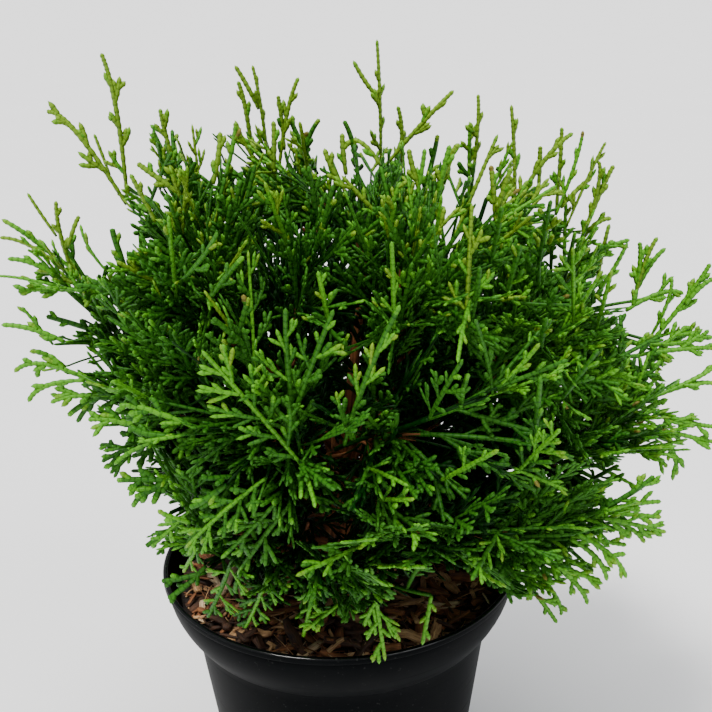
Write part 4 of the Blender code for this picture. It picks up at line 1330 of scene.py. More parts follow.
    def branchlets(self, sides: Shoots) -> Shoots:
        """The short branchlets of side shoots, shorter towards the side shoot's tip.

        Args:
            sides: the side shoots.

        Returns:
            The branchlets.
        """
        rng = self.rng
        usable = np.maximum(sides.length - self.least_forked, 0.0)
        counts = (usable / self.branchlet_spacing + rng.uniform(0, 0.6, len(usable))).astype(int)
        owner, number = dealt(counts)
        offset = self.branchlet_first + (number + rng.uniform(0, 0.35, len(owner))) * self.branchlet_spacing
        share = np.minimum(offset / sides.length[owner], 0.82)
        left = sides.length[owner] * (1 - share)
        length = np.minimum(self.branchlet_longest, self.branchlet_least + 0.60 * left)
        length = length * rng.uniform(0.60, 1.22, len(owner))
        opening = np.radians(self.branchlet_angle) + rng.normal(0, 0.15, len(owner))
        return self.branched(sides, owner, share, number, length, opening, 0.35, 0.07)

    def branched(
        self,
        parents: Shoots,
        owner: Array,
        share: Array,
        number: Array,
        length: Array,
        opening: Array,
        forward: float,
        twist: float,
    ) -> Shoots:
        """Shoots that leave their parents in the parents' flat.

        Args:
            parents: what they grow on.
            owner: the row of each one's parent.
            share: where on the parent each is rooted.
            number: each one's count on its parent, which says on which side it is.
            length: their lengths.
            opening: the angles between them and their parents, in radians.
            forward: how far they bend round to run along the parent.
            twist: how far their flat is turned out of the parent's, in radians.

        Returns:
            The new shoots.
        """
        rng = self.rng
        parent = parents.kept(owner)
        root, run = parent.place(share), parent.run(share)
        flat = squared(parent.flat, run)
        sideways = np.cross(flat, run) * np.where(number % 2 == 0, 1.0, -1.0)[:, None]
        tilt = rng.normal(0, twist, len(owner))[:, None]
        sideways = unit(sideways + flat * tilt)
        start = unit(run * np.cos(opening)[:, None] + sideways * np.sin(opening)[:, None])
        bow = (run - start) * (0.5 * forward * length)[:, None]
        bow = bow + rng.normal(0, 0.03, root.shape) * length[:, None]
        thick = parent.half_width * rng.uniform(0.88, 1.10, len(owner))
        lead, slack = start * length[:, None], parent.slack + 0.0015
        return Shoots(root, lead, bow, squared(flat, start), length, thick, slack, parent.fresh)

    def clear_of_pot(self, shoots: Shoots) -> Array:
        """Which shoots keep out of the rim and of all that the photo shows open.

        Only named shoots may overhang the mulch or stand before the dark hollows, and only the
        outline's and the tables' own may cross the windows of sky.

        Args:
            shoots: the shoots.

        Returns:
            One truth value for each shoot.
        """
        fine = np.ones(len(shoots.length), bool)
        named = shoots.slack > self.mass_slack
        lowest = np.where(named, self.mulch_top, self.open_above)
        for share in (0.35, 0.7, 1.0):
            spot = shoots.place(share)
            flat = np.hypot(spot[:, 0], spot[:, 1])
            inside = (flat < self.rim_radius - self.rim_band) & (spot[:, 2] < lowest)
            near = np.abs(flat - self.rim_radius + 0.003) < self.rim_band - 0.002
            band = near & (spot[:, 2] < self.rim_top)
            under = (flat < self.rim_radius + 0.004) & (spot[:, 2] < self.rim_top - 0.012)
            fine &= ~(inside | band | under)
            hollow = (spot[:, 1] < self.hollow_front) & self.in_ellipses(spot, self.hollows, 0.0)
            fine &= named | ~(self.in_window(spot) | hollow)
            fine &= (shoots.slack >= self.named_slack) | ~self.in_sky(spot)
        return fine

    def seen_on(self, spot: Array) -> Array:
        """Moves places along the line from the eye to them onto the upright plane of the trunk.

        Args:
            spot: (n, 3) places.

        Returns:
            (n, 3) places on the plane.
        """
        ahead = spot - np.array(self.eye)
        nearer = (self.rule.lean[1] / 2 - self.eye[1]) / np.maximum(ahead[:, 1], 1e-3)
        return np.array(self.eye) + ahead * nearer[:, None]

    def in_sky(self, spot: Array) -> Array:
        """Which places hide a gap between the outline's sprays, or the mulch at the pot's left rim."""
        return self.in_ellipses(spot, self.sky_windows, self.sky_margin)

    def in_ellipses(self, spot: Array, table: Rows, margin: float) -> Array:
        """Which places are seen inside any of a table's ellipses.

        A row of the table gives an ellipse on the upright plane of the trunk: its middle (x, z), its
        half length and half width in millimetres, and the angle of its length above level.

        Args:
            spot: (n, 3) places.
            table: the ellipses.
            margin: how far each is widened.

        Returns:
            One truth value for each place.
        """
        seen = self.seen_on(spot)[:, [0, 2]]
        rows = np.array(table, float)
        turn = np.radians(rows[:, 4])
        off = seen[:, None] - rows[None, :, :2] / 1000
        along = off[..., 0] * np.cos(turn) + off[..., 1] * np.sin(turn)
        across = off[..., 1] * np.cos(turn) - off[..., 0] * np.sin(turn)
        half = rows[:, 2:4] / 1000 + margin
        return ((along / half[:, 0]) ** 2 + (across / half[:, 1]) ** 2 < 1).any(axis=1)

    def in_window(self, spot: Array) -> Array:
        """Which places hide what the photo shows through the crown: the mulch's front and the trunk.

        Each place is moved along the line from the eye to it, onto the mulch's level and onto the
        upright plane of the trunk, and compared there with the windows' borders.

        Args:
            spot: (n, 3) places.

        Returns:
            One truth value for each place.
        """
        eye = np.array(self.eye)
        border = np.array(self.mulch_window)
        ahead = spot - eye
        below = eye + ahead * ((self.mulch_top - eye[2]) / np.minimum(ahead[:, 2], -1e-3))[:, None]
        mulch = below[:, 1] < np.interp(below[:, 0], border[:, 0], border[:, 1])
        mulch &= spot[:, 2] > self.mulch_top
        mulch &= np.hypot(below[:, 0], below[:, 1]) < self.rim_radius - 0.0045
        middle = self.rule.lean[1] / 2
        behind = self.seen_on(spot)
        low, high, half = self.trunk_window
        off = np.abs(behind[:, 0] - self.rule.trunk_place(behind[:, 2])[:, 0])
        trunk = (off < half) & (behind[:, 2] > low) & (behind[:, 2] < high) & (spot[:, 1] < middle - 0.002)
        return mulch | trunk

    def shape(self, shoots: Shoots, slots: Array, tipped: Array, surface: Surface) -> None:
        """Adds shoots to a surface.

        A shoot is a flat four-cornered section carried along it. Two rings stand for each pair of
        scale leaves: a narrow, thicker one where the pairs meet and a wide, thinner one between.

        Args:
            shoots: what is added.
            slots: each shoot's material slot.
            tipped: the slot of each shoot's last scales.
            surface: what it is added to.
        """
        coarse = np.where(slots == 0, self.deep_pair_length, self.pair_length)
        pairs = np.clip(np.round(shoots.length / coarse).astype(int), 1, 30)
        for hidden in (True, False):
            for number in np.unique(pairs):
                which = (pairs == number) & ((slots < 2) == hidden)
                if which.any():
                    group = shoots.kept(which)
                    self.shape_alike(group, int(number), hidden, slots[which], tipped[which], surface)

    def shape_alike(
        self, group: Shoots, pairs: int, hidden: bool, slot: Array, tipped: Array, surface: Surface
    ) -> None:
        """Adds shoots that all have the same number of scale pairs.

        Args:
            group: the shoots.
            pairs: how many pairs of scales each has.
            hidden: whether they are deep in the crown, where one ring stands for a pair.
            slot: each shoot's material slot.
            tipped: the slot of each shoot's last scales.
            surface: what they are added to.
        """
        rings = pairs + 1 if hidden else 2 * pairs + 1
        blunt = min(0.42 * self.pair_length / float(group.length.mean()), 0.28)
        share = np.linspace(0.0, 1.0 - blunt, rings)
        reach = share[None, :, None]
        place = group.root[:, None] + group.lead[:, None] * reach + group.bow[:, None] * reach**2
        run = unit(group.lead[:, None] + 2 * group.bow[:, None] * reach)
        flat = squared(np.broadcast_to(group.flat[:, None], run.shape), run)
        belly = (np.arange(rings) % 2 == 1) | hidden
        swell = 0.72 + 0.28 * np.clip(share / 0.3, 0, 1)
        closing = 1 - self.tip_closing * np.clip((share - 0.6) / 0.4, 0, 1)
        wide = group.half_width[:, None] * (np.where(belly, 1.0, self.joint_narrowing) * swell * closing)
        thick = group.half_width[:, None] * (np.where(belly, *self.thickness) * swell * closing)
        section = np.array([[1.0, 0.0], [0.0, 1.0], [-1.0, 0.0], [0.0, -1.0]])
        tip = group.root + group.lead + group.bow
        points, quads, triangles = grown_rods(place, np.cross(flat, run), flat, wide, thick, section, tip)
        values = np.zeros((len(slot), rings * 4 + 1, 3))
        values[:, :-1, 0] = np.repeat(share * pairs, 4)
        values[:, :-1, 1] = np.tile([0.0, 1.0], 2 * rings)
        # The third value carries each shoot's freshness and painted light, growing towards its tip.
        values[:, :-1, 2] = group.fresh[:, None] * np.repeat(0.35 + 0.65 * share, 4)
        values[:, -1, :2] = (pairs - 0.4, 0.5)
        values[:, -1, 2] = group.fresh
        finish = np.repeat(slot[:, None], quads.size // (4 * len(slot)), axis=1)
        last = 4 * (rings - 1)
        finish[:, max(last - (4 if hidden else 8), 4) : last] = tipped[:, None]
        surface.add(points, quads, triangles, values.reshape(-1, 3), finish.ravel(), np.repeat(tipped, 4))

    def grow(self, groups: list[tuple[Shoots, Array]], surface: Surface) -> int:
        """Grows one mass: what branches from its sprays' ribs, and the leaves' shapes.

        Args:
            groups: ribs with their forms.
            surface: what the leaves are added to.

        Returns:
            How many shoots there are.
        """
        ribs = Shoots.joined([ribs for ribs, _ in groups])
        form = np.concatenate([form for _, form in groups])
        keep = self.clear_of_pot(ribs) & (ribs.length > self.least_rib)
        ribs, form = ribs.kept(keep), form[keep]
        ribs.fresh = np.where(ribs.fresh == 0, self.rng.normal(0, 0.065, len(ribs.length)), ribs.fresh)
        sides, owner = self.side_shoots(ribs, form)
        sides = self.within(sides)
        keep = self.clear_of_pot(sides) & (sides.length > self.least_kept)
        sides, owner = sides.kept(keep), owner[keep]
        ribs = self.ended(ribs, sides, owner)
        small = self.branchlets(sides)
        every = Shoots.joined([ribs, sides, small.kept(self.clear_of_pot(small))])
        self.shape(every, *self.tints(every), surface)
        return len(every.length)

    def tints(self, shoots: Shoots) -> tuple[Array, Array]:
        """Deals out the greens as painted light and shade, brighter the further out a shoot lies and the more
        light it would get.

        The sides and the top are painted with most light, the back with least, and the crown's foot on the
        left is painted in shade.
        Bright shoots turn olive towards the top. Some tips are a green brighter than their shoot, more of
        them high up, and a few are worn.

        Args:
            shoots: all of a mass's shoots, whose brightness from freshness and painted light becomes their
                share of the light green.

        Returns:
            Each shoot's tint, and that of its last scales.
        """
        spot = shoots.place(0.6)
        right, back, high = np.moveaxis(spot, 1, 0)
        out = self.rule.depth(spot) + shoots.fresh + self.rng.normal(0, 0.03, len(high))
        # Painted light: the sides and top painted lit, the back painted in shade, and the crown's low left
        # foot darkened as painted shade.
        sunlit = self.side_light * np.abs(right) - self.back_shade * np.abs(back)
        sunlit = sunlit + self.top_light * np.maximum(high - self.top_light_from, 0)
        shaded = self.foot_shade * np.maximum(self.foot_shade_below - high, 0)
        out = out + sunlit - shaded * np.clip((-right - 0.02) / 0.03, 0, 1)
        shoots.fresh = np.clip((out - 0.55) / 0.45, 0, 1)
        tint = np.where(out < self.fresh_from, LeafTint.GREEN, LeafTint.FRESH)
        tint = np.where(out < self.green_from, LeafTint.DEEP, tint)
        olive = self.rng.random(len(out)) < (high - self.olive_from) / self.olive_over
        dice = self.rng.random(len(out))
        often = self.tip_often + self.tip_oftener * np.maximum(high - self.tip_oftener_from, 0)
        brighter = np.where(tint == LeafTint.FRESH, LeafTint.TIP, LeafTint.FRESH)
        tipped = np.where((out > self.tip_from) & (dice < often), brighter, tint)
        tipped = np.where((out > self.worn_from) & (dice > 1 - self.worn_often), LeafTint.WORN, tipped)
        tipped = np.where(olive & (tipped == LeafTint.FRESH), LeafTint.OLIVE, tipped)
        return np.where(olive & (tint == LeafTint.FRESH), LeafTint.OLIVE, tint), tipped

    def between_stems(self) -> list[Limb]:
        """Stems that fork low from the boughs and stand between them, tier by tier, as the boughs do.

        Each leaves its host along the host's run and bends over to a tip that lies half a tier's
        step further round and somewhat higher or lower.

        Returns:
            The stems, each named after its host's mass.
        """
        rng = self.rng
        share = np.linspace(0.0, 1.0, self.rule.stations)[:, None]
        radii = np.linspace(*self.between_radii, self.rule.stations)
        centre = np.array(self.rule.centre)
        found = []
        for limb, (turn, rise) in zip(self.limbs, self.between_turns()):
            root, run = (part[0] for part in limb.at(np.array([rng.uniform(*self.between_place)])))
            out = limb.path[-1] - centre
            azimuth = math.degrees(math.atan2(out[1], out[0])) + turn + rng.uniform(-6, 6)
            elevation = math.degrees(math.asin(out[2] / np.linalg.norm(out))) + rise + rng.uniform(-4, 4)
            towards = direction(azimuth, elevation)
            tip = centre + towards * self.rule.reach(towards) * rng.uniform(*self.between_reach)
            path = bent_path(root, run, tip, 0.35, share)
            found.append(Limb(limb.name, limb.tier, path, radii, self.between_joint))
        return found

    def between_turns(self) -> list[tuple[float, float]]:
        """How far round and up from its host's tip each in-between stem ends.

        Returns:
            Two angles in degrees for each limb.
        """
        steps = {tier.name: (180 / tier.count, tier.between) for tier in self.rule.tiers}
        steps["leader"] = (130.0, -4.0)
        return [steps[limb.tier.name] for limb in self.limbs]

    def fork_twigs(self, stems: list[Limb]) -> list[Limb]:
        """Twigs that fork from the stems and carry sprays of their own.

        Each leaves its stem a golden angle round from the one before and bends back to run along it,
        path = root + start * t + (run - start) * bend * t^2, shortened to stay inside the outline.

        Args:
            stems: what they fork from.

        Returns:
            The twigs, each named after its stem's mass.
        """
        rng = self.rng
        share = np.linspace(0.0, 1.0, self.twig_stations)[:, None]
        radii = np.linspace(*self.twig_radii, self.twig_stations)
        found = []
        for limb in stems:
            first = rng.uniform(0, 360)
            stem = limb.length() * (1 - limb.joint)
            for number in range(self.forks):
                along = 0.04 + 0.82 * (number + rng.uniform(0, 0.6)) / self.forks
                at = limb.joint + (1 - limb.joint) * along
                root, run = (part[0] for part in limb.at(np.array([at])))
                turn = np.array([math.radians(first + self.golden_angle * number)])
                angle = np.array([math.radians(rng.uniform(34, 56)) * limb.tier.spread])
                start, _ = self.spray_axes(run[None], turn, angle, 0.0)
                reach = stem * rng.uniform(0.34, 0.52) * (1.15 - 0.55 * at)
                for _ in range(self.tries):
                    sunk = np.array([0, 0, limb.tier.droop * 0.8])
                    bend = (run - start[0]) * 0.45 * share**2 - sunk * share**2
                    path = root + (start[0] * share + bend) * reach
                    clear = self.above_pot(path) and not self.in_sky(path).any()
                    if clear and self.rule.depth(path[-1:])[0] < self.fork_reach:
                        break
                    reach *= 0.85
                found.append(Limb(limb.name, limb.tier, path, radii, 0.0))
        return found

    def above_pot(self, path: Array) -> bool:
        """Whether a path keeps clear of the pot.

        Args:
            path: (n, 3) places.

        Returns:
            True where none of them lies low over the mulch and the rim, or far down beside the pot.
        """
        flat = np.hypot(path[:, 0], path[:, 1])
        lowest = np.where(flat < self.rim_radius + 0.006, self.rim_top + 0.001, self.lowest_twig)
        return bool((path[:, 2] > lowest).all())

    def build(self, finishes: list[ScaleLeaf], stems: list[Limb], forks: list[Limb]) -> None:
        """Every mass's leaves, a piece each, in place of the mass's solid.

        Args:
            finishes: a finish for every tint.
            stems: every stem.
            forks: every twig.
        """
        materials = [finish.material() for finish in finishes]
        lone, lone_form, owners = self.named_shoots(stems)
        for index, limb in enumerate(self.limbs):
            surface = Surface()
            mine = owners == index
            own_stems = [stem for stem in stems if stem.name == limb.name]
            own_forks = [fork for fork in forks if fork.name == limb.name]
            groups = [(lone.kept(mine), lone_form[mine])] if mine.any() else []
            groups += [self.stem_sprays(stem) for stem in own_stems]
            groups += [self.fork_sprays(fork) for fork in own_forks]
            groups += [self.heart_sprays(stem) for stem in own_stems]
            groups.append(self.covers([*own_stems, *own_forks]))
            shoots = self.grow(groups, surface)
            made = surface.piece(f"leaves_{limb.name}", materials, attribute="scale_leaf")
            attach(made, BODY)
            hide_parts(f"foliage_{limb.name}")
            LOG.info("%s: %d shoots, %d triangles", made.name, shoots, surface.weight())


def revolved(profile: Array, steps: int, wobble: float = 0.0) -> Faces:
    """A profile turned round Z.

    Place = (r cos a, r sin a, z) with r = radius * (1 + wobble * sin(2a + 0.7)), for the profile's
    (radius, z) rows and equal steps of a. Rows of no radius become one point with a fan round it.

    Args:
        profile: (n, 2) radii and heights, so ordered that the surface lies to the profile's right.
        steps: points in a ring.
        wobble: how far the rings are out of round.

    Returns:
        Points, quads and triangles.
    """
    angle = np.linspace(0.0, 2 * math.pi, steps, endpoint=False)
    round_by = 1 + wobble * np.sin(2 * angle + 0.7)
    rings = profile[profile[:, 0] > 0]
    radius = rings[:, :1] * round_by
    height = np.broadcast_to(rings[:, 1:], radius.shape)
    points = np.stack([radius * np.cos(angle), radius * np.sin(angle), height], axis=-1).reshape(-1, 3)
    here = np.arange(steps)
    after = (here + 1) % steps
    fans = [NO_TRIANGLES]
    if profile[0, 0] == 0:
        fans.append(np.stack([np.full(steps, len(points)), here, after], axis=-1))
        points = np.concatenate([points, [[0.0, 0.0, profile[0, 1]]]])
    if profile[-1, 0] == 0:
        ring = (len(rings) - 1) * steps
        fans.append(np.stack([np.full(steps, len(points)), ring + after, ring + here], axis=-1))
        points = np.concatenate([points, [[0.0, 0.0, profile[-1, 1]]]])
    return points, ring_quads(len(rings), steps, along=False), np.concatenate(fans)


def drawn_out(corners: list[tuple[float, float]], step: float) -> Array:
    """A profile's corners with even points between them.

    Args:
        corners: (radius, z) of each corner.
        step: how far apart the points lie at the most.

    Returns:
        (n, 2) points.
    """
    ends = np.array(corners)
    parts = []
    for here, there in zip(ends[:-1], ends[1:]):
        count = max(1, math.ceil(float(np.linalg.norm(there - here)) / step))
        parts.append(here + (there - here) * (np.arange(count) / count)[:, None])
    return np.concatenate([*parts, ends[-1:]])


@dataclass
class NurseryPot:
    """A round black nursery pot: tapered wall, small step, flared collar, rolled lip, drained floor."""

    finish: MouldedPlastic = MouldedPlastic()
    height: float = 0.130
    rim_radius: float = 0.085
    collar_height: float = 0.0274
    collar_foot_radius: float = 0.0744
    step_width: float = 0.003
    bulge: float = 0.0020
    taper: float = 0.134
    wall: float = 0.0013
    floor_top: float = 0.002
    lip_width: float = 0.0012
    lip_depth: float = 0.003
    groove: float = 0.0005
    edge: float = 0.0008
    recess: float = 0.0007
    recess_radius: float = 0.0530
    steps: int = 192
    ring_gap: float = 0.006
    wobble: float = 0.0012
    holes: int = 6
    hole_radius: float = 0.004
    hole_ring: float = 0.045
    sector: tuple[float, float] = (0.036, 0.052)

    def outline(self) -> Array:
        """The wall's profile, from the floor's inner edge over the lip and down to the foot.

        Returns:
            (n, 2) radii and heights.
        """
        step_height = self.height - self.collar_height
        body_top = self.collar_foot_radius - self.step_width
        base = body_top - self.taper * step_height
        lip_inner = self.rim_radius - self.lip_width - self.wall
        top, lip_foot, edge = self.height, self.height - self.lip_depth, self.edge
        under_lip = (self.rim_radius - self.lip_width - 0.0003, lip_foot - 1.4 * edge)
        corners = [
            (self.sector[1], self.floor_top),
            (base + self.taper * self.floor_top - self.wall - edge, self.floor_top),
            (base + self.taper * 0.004 - self.wall, self.floor_top + edge),
            (body_top - self.wall, step_height + 0.4 * edge),
            (body_top - self.wall + edge, step_height + self.wall),
            (self.collar_foot_radius - self.wall, step_height + self.wall),
            (lip_inner, top - edge),
            (lip_inner + 0.3 * edge, top - 0.3 * edge),
            (lip_inner + edge, top),
            (self.rim_radius - edge, top),
            (self.rim_radius - 0.3 * edge, top - 0.3 * edge),
            (self.rim_radius, top - edge),
            (self.rim_radius, lip_foot + 0.5 * edge),
            (self.rim_radius - 0.3 * edge, lip_foot),
            (self.rim_radius - self.lip_width, lip_foot),
            (self.rim_radius - self.lip_width - self.groove, lip_foot - 0.4 * edge),
            *self.collar_face(under_lip, step_height + edge),
            (self.collar_foot_radius - 0.4 * edge, step_height + 0.1 * edge),
            (self.collar_foot_radius - edge, step_height),
            (body_top + 0.4 * edge, step_height - 0.2 * edge),
            (body_top, step_height - edge),
            (base + self.taper * 2 * edge, 2 * edge),
            (base - 0.2 * edge, 0.5 * edge),
            (base - edge, 0.0),
            (self.recess_radius + edge, 0.0),
            (self.recess_radius, self.recess),
            (self.sector[1], self.recess),
        ]
        return drawn_out(corners, self.ring_gap)

    def collar_face(self, start: tuple[float, float], foot: float) -> list[tuple[float, float]]:
        """The collar's outer face from the lip to the step, bulging by bulge * 4 s (1 - s) at share s.

        Args:
            start: the radius and height under the lip.
            foot: the height above the step.

        Returns:
            The face's corners.
        """
        radius = self.collar_foot_radius + 0.0002
        corners = []
        for share in (part / 8 for part in range(9)):
            out = start[0] + (radius - start[0]) * share + self.bulge * 4 * share * (1 - share)
            corners.append((out, start[1] + (foot - start[1]) * share))
        return corners

    def holed_ring(self, height: float, upwards: bool) -> Faces:
        """The floor's ring of drain holes, one side of it.

        Each sixth of the ring is a patch between its hole's circle and its own border, point =
        hole + (border - hole) * t, the two curves matched by their angle as seen from the hole.

        Args:
            height: the height of this side.
            upwards: whether it faces up.

        Returns:
            Points, quads and no triangles.
        """
        share = self.steps // self.holes
        half = math.pi / self.holes
        inner, outer = self.sector
        arc = np.linspace(-half, half, share + 1)
        line = np.linspace(outer, inner, 9)[1:-1]
        border = np.concatenate([
            np.stack([outer * np.cos(arc), outer * np.sin(arc)], -1),
            np.stack([line * math.cos(half), line * math.sin(half)], -1),
            np.stack([inner * np.cos(arc[::-1]), inner * np.sin(arc[::-1])], -1),
            np.stack([line[::-1] * math.cos(half), -line[::-1] * math.sin(half)], -1),
        ])
        offset = border - np.array([self.hole_ring, 0.0])
        hole = self.hole_radius * unit(offset)
        mixes = np.linspace(0.0, 1.0, 4)[:, None, None]
        patch = np.array([self.hole_ring, 0.0]) + hole * (1 - mixes) + offset * mixes
        quads = ring_quads(len(mixes), len(border), along=False)
        flat = patch.reshape(-1, 2)
        cos, sin = np.moveaxis(self.hole_ways(), -1, 0)
        spin = np.stack([np.stack([cos, -sin], -1), np.stack([sin, cos], -1)], 1)
        places = np.einsum("hij,nj->hni", spin, flat)
        points = np.concatenate([places, np.full((*places.shape[:2], 1), height)], axis=-1).reshape(-1, 3)
        return points, copied(quads if upwards else quads[:, ::-1], self.holes, len(flat)), NO_TRIANGLES

    def hole_ways(self) -> Array:
        """The (cos, sin) of the ways from the middle to the drain holes."""
        turns = 2 * math.pi * (np.arange(self.holes) + 0.5) / self.holes
        return np.stack([np.cos(turns), np.sin(turns)], axis=-1)

    def hole_walls(self) -> Faces:
        """The drain holes' round walls, between the floor's two sides.

        Returns:
            Points, quads and no triangles.
        """
        profile = np.array([[self.hole_radius, self.recess], [self.hole_radius, self.floor_top]])
        points, quads, _ = revolved(profile, self.steps // self.holes)
        middles = np.pad(self.hole_ring * self.hole_ways(), ((0, 0), (0, 1)))
        places = (points[None] + middles[:, None]).reshape(-1, 3)
        return places, copied(quads, self.holes, len(points)), NO_TRIANGLES

    def build(self) -> None:
        """The whole pot as one piece."""
        surface = Surface()
        surface.add(*revolved(self.outline(), self.steps, self.wobble))
        middle = self.sector[0]
        upper = [(0.0, self.floor_top), (middle, self.floor_top)]
        lower = [(middle, self.recess), (0.0, self.recess)]
        for ends in (upper, lower):
            surface.add(*revolved(drawn_out(ends, self.ring_gap), self.steps))
        surface.add(*self.holed_ring(self.floor_top, False))
        surface.add(*self.holed_ring(self.recess, True))
        surface.add(*self.hole_walls())
        made = surface.piece("nursery_pot", [self.finish.material()])
        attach(made, BODY)
        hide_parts("pot")
        LOG.info("%s: %d triangles", made.name, surface.weight())


@dataclass
class SoilAndMulch:
    """Crumbly soil with shredded bark on it: splintery chips, fine fibres and crumbs."""

    soil: PottingSoil = PottingSoil()
    seed: int = 5
    top: float = 0.1158
    lumps: float = 0.0016
    wall_foot: float = 0.0023
    radii: tuple[tuple[float, float], ...] = (
        (0.0555, 0.0026), (0.0685, 0.1010), (0.0727, 0.1043), (0.0775, 0.1155),
    )
    steps: int = 180
    rings: int = 44
    ring_gap: float = 0.008
    chip_reach: float = 0.0765
    trunk_radius: float = 0.0085
    stations: int = 7
    chips: int = 760
    chip_lift: tuple[float, float] = (0.0006, 0.0056)
    chip_tilt: float = 0.24
    chip_tints: tuple[float, ...] = (0.38, 0.36, 0.19, 0.07)
    fibres: int = 420
    fibre_length: tuple[float, float] = (0.006, 0.020)
    fibre_width: tuple[float, float] = (0.00012, 0.00028)
    fibre_lift: tuple[float, float] = (0.0015, 0.0048)
    fibre_tilt: float = 0.22
    fibre_tints: tuple[float, ...] = (0.20, 0.38, 0.30, 0.12)
    crumbs: int = 2600
    crumb_lift: float = 0.0012
    crumb_tints: tuple[float, ...] = (0.62, 0.30, 0.08)

    def __post_init__(self) -> None:
        """Starts the seeded random numbers."""
        self.rng = np.random.default_rng(self.seed)

    def surface_height(self, x: Array, y: Array) -> Array:
        """The soil's height: two sizes of smooth random lumps, and a slight heap towards the trunk.

        Args:
            x: places across.
            y: places away from the front.

        Returns:
            top + lumps * (0.6 * coarse + 0.4 * fine) + heap for each place.
        """
        coarse = lattice_noise(x / 0.014 + 30, y / 0.014 + 30, 3)
        fine = lattice_noise(x / 0.0042 + 30, y / 0.0042 + 30, 4)
        heap = 0.0012 * np.exp(-(x * x + y * y) / 0.022**2)
        return self.top + self.lumps * (0.6 * coarse + 0.4 * fine) + heap

    def soil_body(self) -> None:
        """The soil: a polar grid for its top, and a turned side that follows the pot's inner wall."""
        surface = Surface()
        inward = np.linspace(self.radii[-1][0], 0.0, self.rings)
        disc = np.stack([inward, np.full(self.rings, self.top)], -1)[::-1]
        points, quads, triangles = revolved(disc, self.steps)
        points[:, 2] = self.surface_height(points[:, 0], points[:, 1])
        surface.add(points, quads, triangles)
        side = drawn_out([*self.radii[::-1], (0.0, self.wall_foot)], self.ring_gap)
        points, quads, triangles = revolved(side, self.steps)
        rim = points[: self.steps]
        rim[:, 2] = self.surface_height(rim[:, 0], rim[:, 1])
        surface.add(points, quads, triangles)
        made = surface.piece("potting_soil", [self.soil.material()])
        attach(made, BODY)
        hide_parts("soil")
        LOG.info("%s: %d triangles", made.name, surface.weight())

    def spots(self, count: int, least: float, reach: float) -> Array:
        """Random places evenly spread over a ring.

        Args:
            count: how many.
            least: the ring's inner radius.
            reach: the ring's outer radius.

        Returns:
            (x, y) rows.
        """
        radius = np.sqrt(self.rng.uniform(least**2, reach**2, count))
        angle = self.rng.uniform(0, 2 * math.pi, count)
        return np.stack([radius * np.cos(angle), radius * np.sin(angle)], axis=-1)

    def shards(
        self, count: int, length: Array, width: Array, thick: Array, tilt: float, lift: Array
    ) -> tuple[Array, ...]:
        """Splinters lying on the soil.

        Each is a slightly bent bar, place = middle + run * s * length + flat * bend, for s from -0.5
        to 0.5. Its width swells and wanes by sin(pi t)^0.22 for t from 0.06 to 0.94, with random
        notches, so its ends are torn, not cut.

        Args:
            count: how many.
            length: their lengths.
            width: their half widths.
            thick: their half thicknesses.
            tilt: the spread of their slope, in radians.
            lift: how high each one's middle lies above the soil.

        Returns:
            Points, quads, triangles and the points' grain.
        """
        rng = self.rng
        spot = self.spots(count, self.trunk_radius, self.chip_reach)
        heading = rng.uniform(0, 2 * math.pi, count)
        slope = rng.normal(0, tilt, count)
        flat_out = np.hypot(spot[:, 0], spot[:, 1])
        inward = np.clip((flat_out + length / 2 - self.chip_reach) / length, 0, 1)
        spot = spot * (1 - (inward * length / flat_out))[:, None]
        level_run = np.stack([np.cos(heading), np.sin(heading)], axis=-1) * np.cos(slope)[:, None]
        run = np.concatenate([level_run, np.sin(slope)[:, None]], axis=-1)
        roll = rng.normal(0, tilt * 1.4, count)
        level = unit(np.cross(np.array([0.0, 0.0, 1.0]), run))
        rise = np.cross(run, level)
        across = level * np.cos(roll)[:, None] + rise * np.sin(roll)[:, None]
        flat = np.cross(run, across)
        height = self.surface_height(spot[:, 0], spot[:, 1]) + lift + 0.38 * length * np.abs(np.sin(slope))
        middle = np.concatenate([spot, height[:, None]], axis=1)
        share = np.linspace(-0.5, 0.5, self.stations)
        bend = rng.normal(0, 0.06, count)[:, None] * (0.25 - share**2) * length[:, None] * 2
        place = middle[:, None] + run[:, None] * (share * length[:, None])[..., None]
        place = place + flat[:, None] * bend[..., None]
        swell = np.sin(math.pi * np.linspace(0.06, 0.94, self.stations)) ** 0.22
        torn = swell * rng.uniform(0.78, 1.08, (count, self.stations))
        wide, through = width[:, None] * torn, thick[:, None] * np.sqrt(torn)
        shift = rng.normal(0, 0.12, (count, self.stations)) * width[:, None]
        place = place + across[:, None] * shift[..., None]
        section = np.array([[1.0, 1.0], [-1.0, 0.8], [-1.0, -1.0], [0.9, -0.8]])
        wide_axis = np.broadcast_to(across[:, None], place.shape)
        flat_axis = np.broadcast_to(flat[:, None], place.shape)
        points, quads, triangles = grown_rods(place, wide_axis, flat_axis, wide, through, section, None)
        grain = np.zeros((count, self.stations, len(section), 3))
        grain[..., 0] = wide[:, :, None] * section[:, 0] + rng.uniform(0, 1, count)[:, None, None]
        grain[..., 1] = through[:, :, None] * section[:, 1] + rng.uniform(0, 1, count)[:, None, None]
        grain[..., 2] = (share * length[:, None])[:, :, None] + rng.uniform(0, 1, count)[:, None, None]
        return points, quads, triangles, grain.reshape(-1, 3)

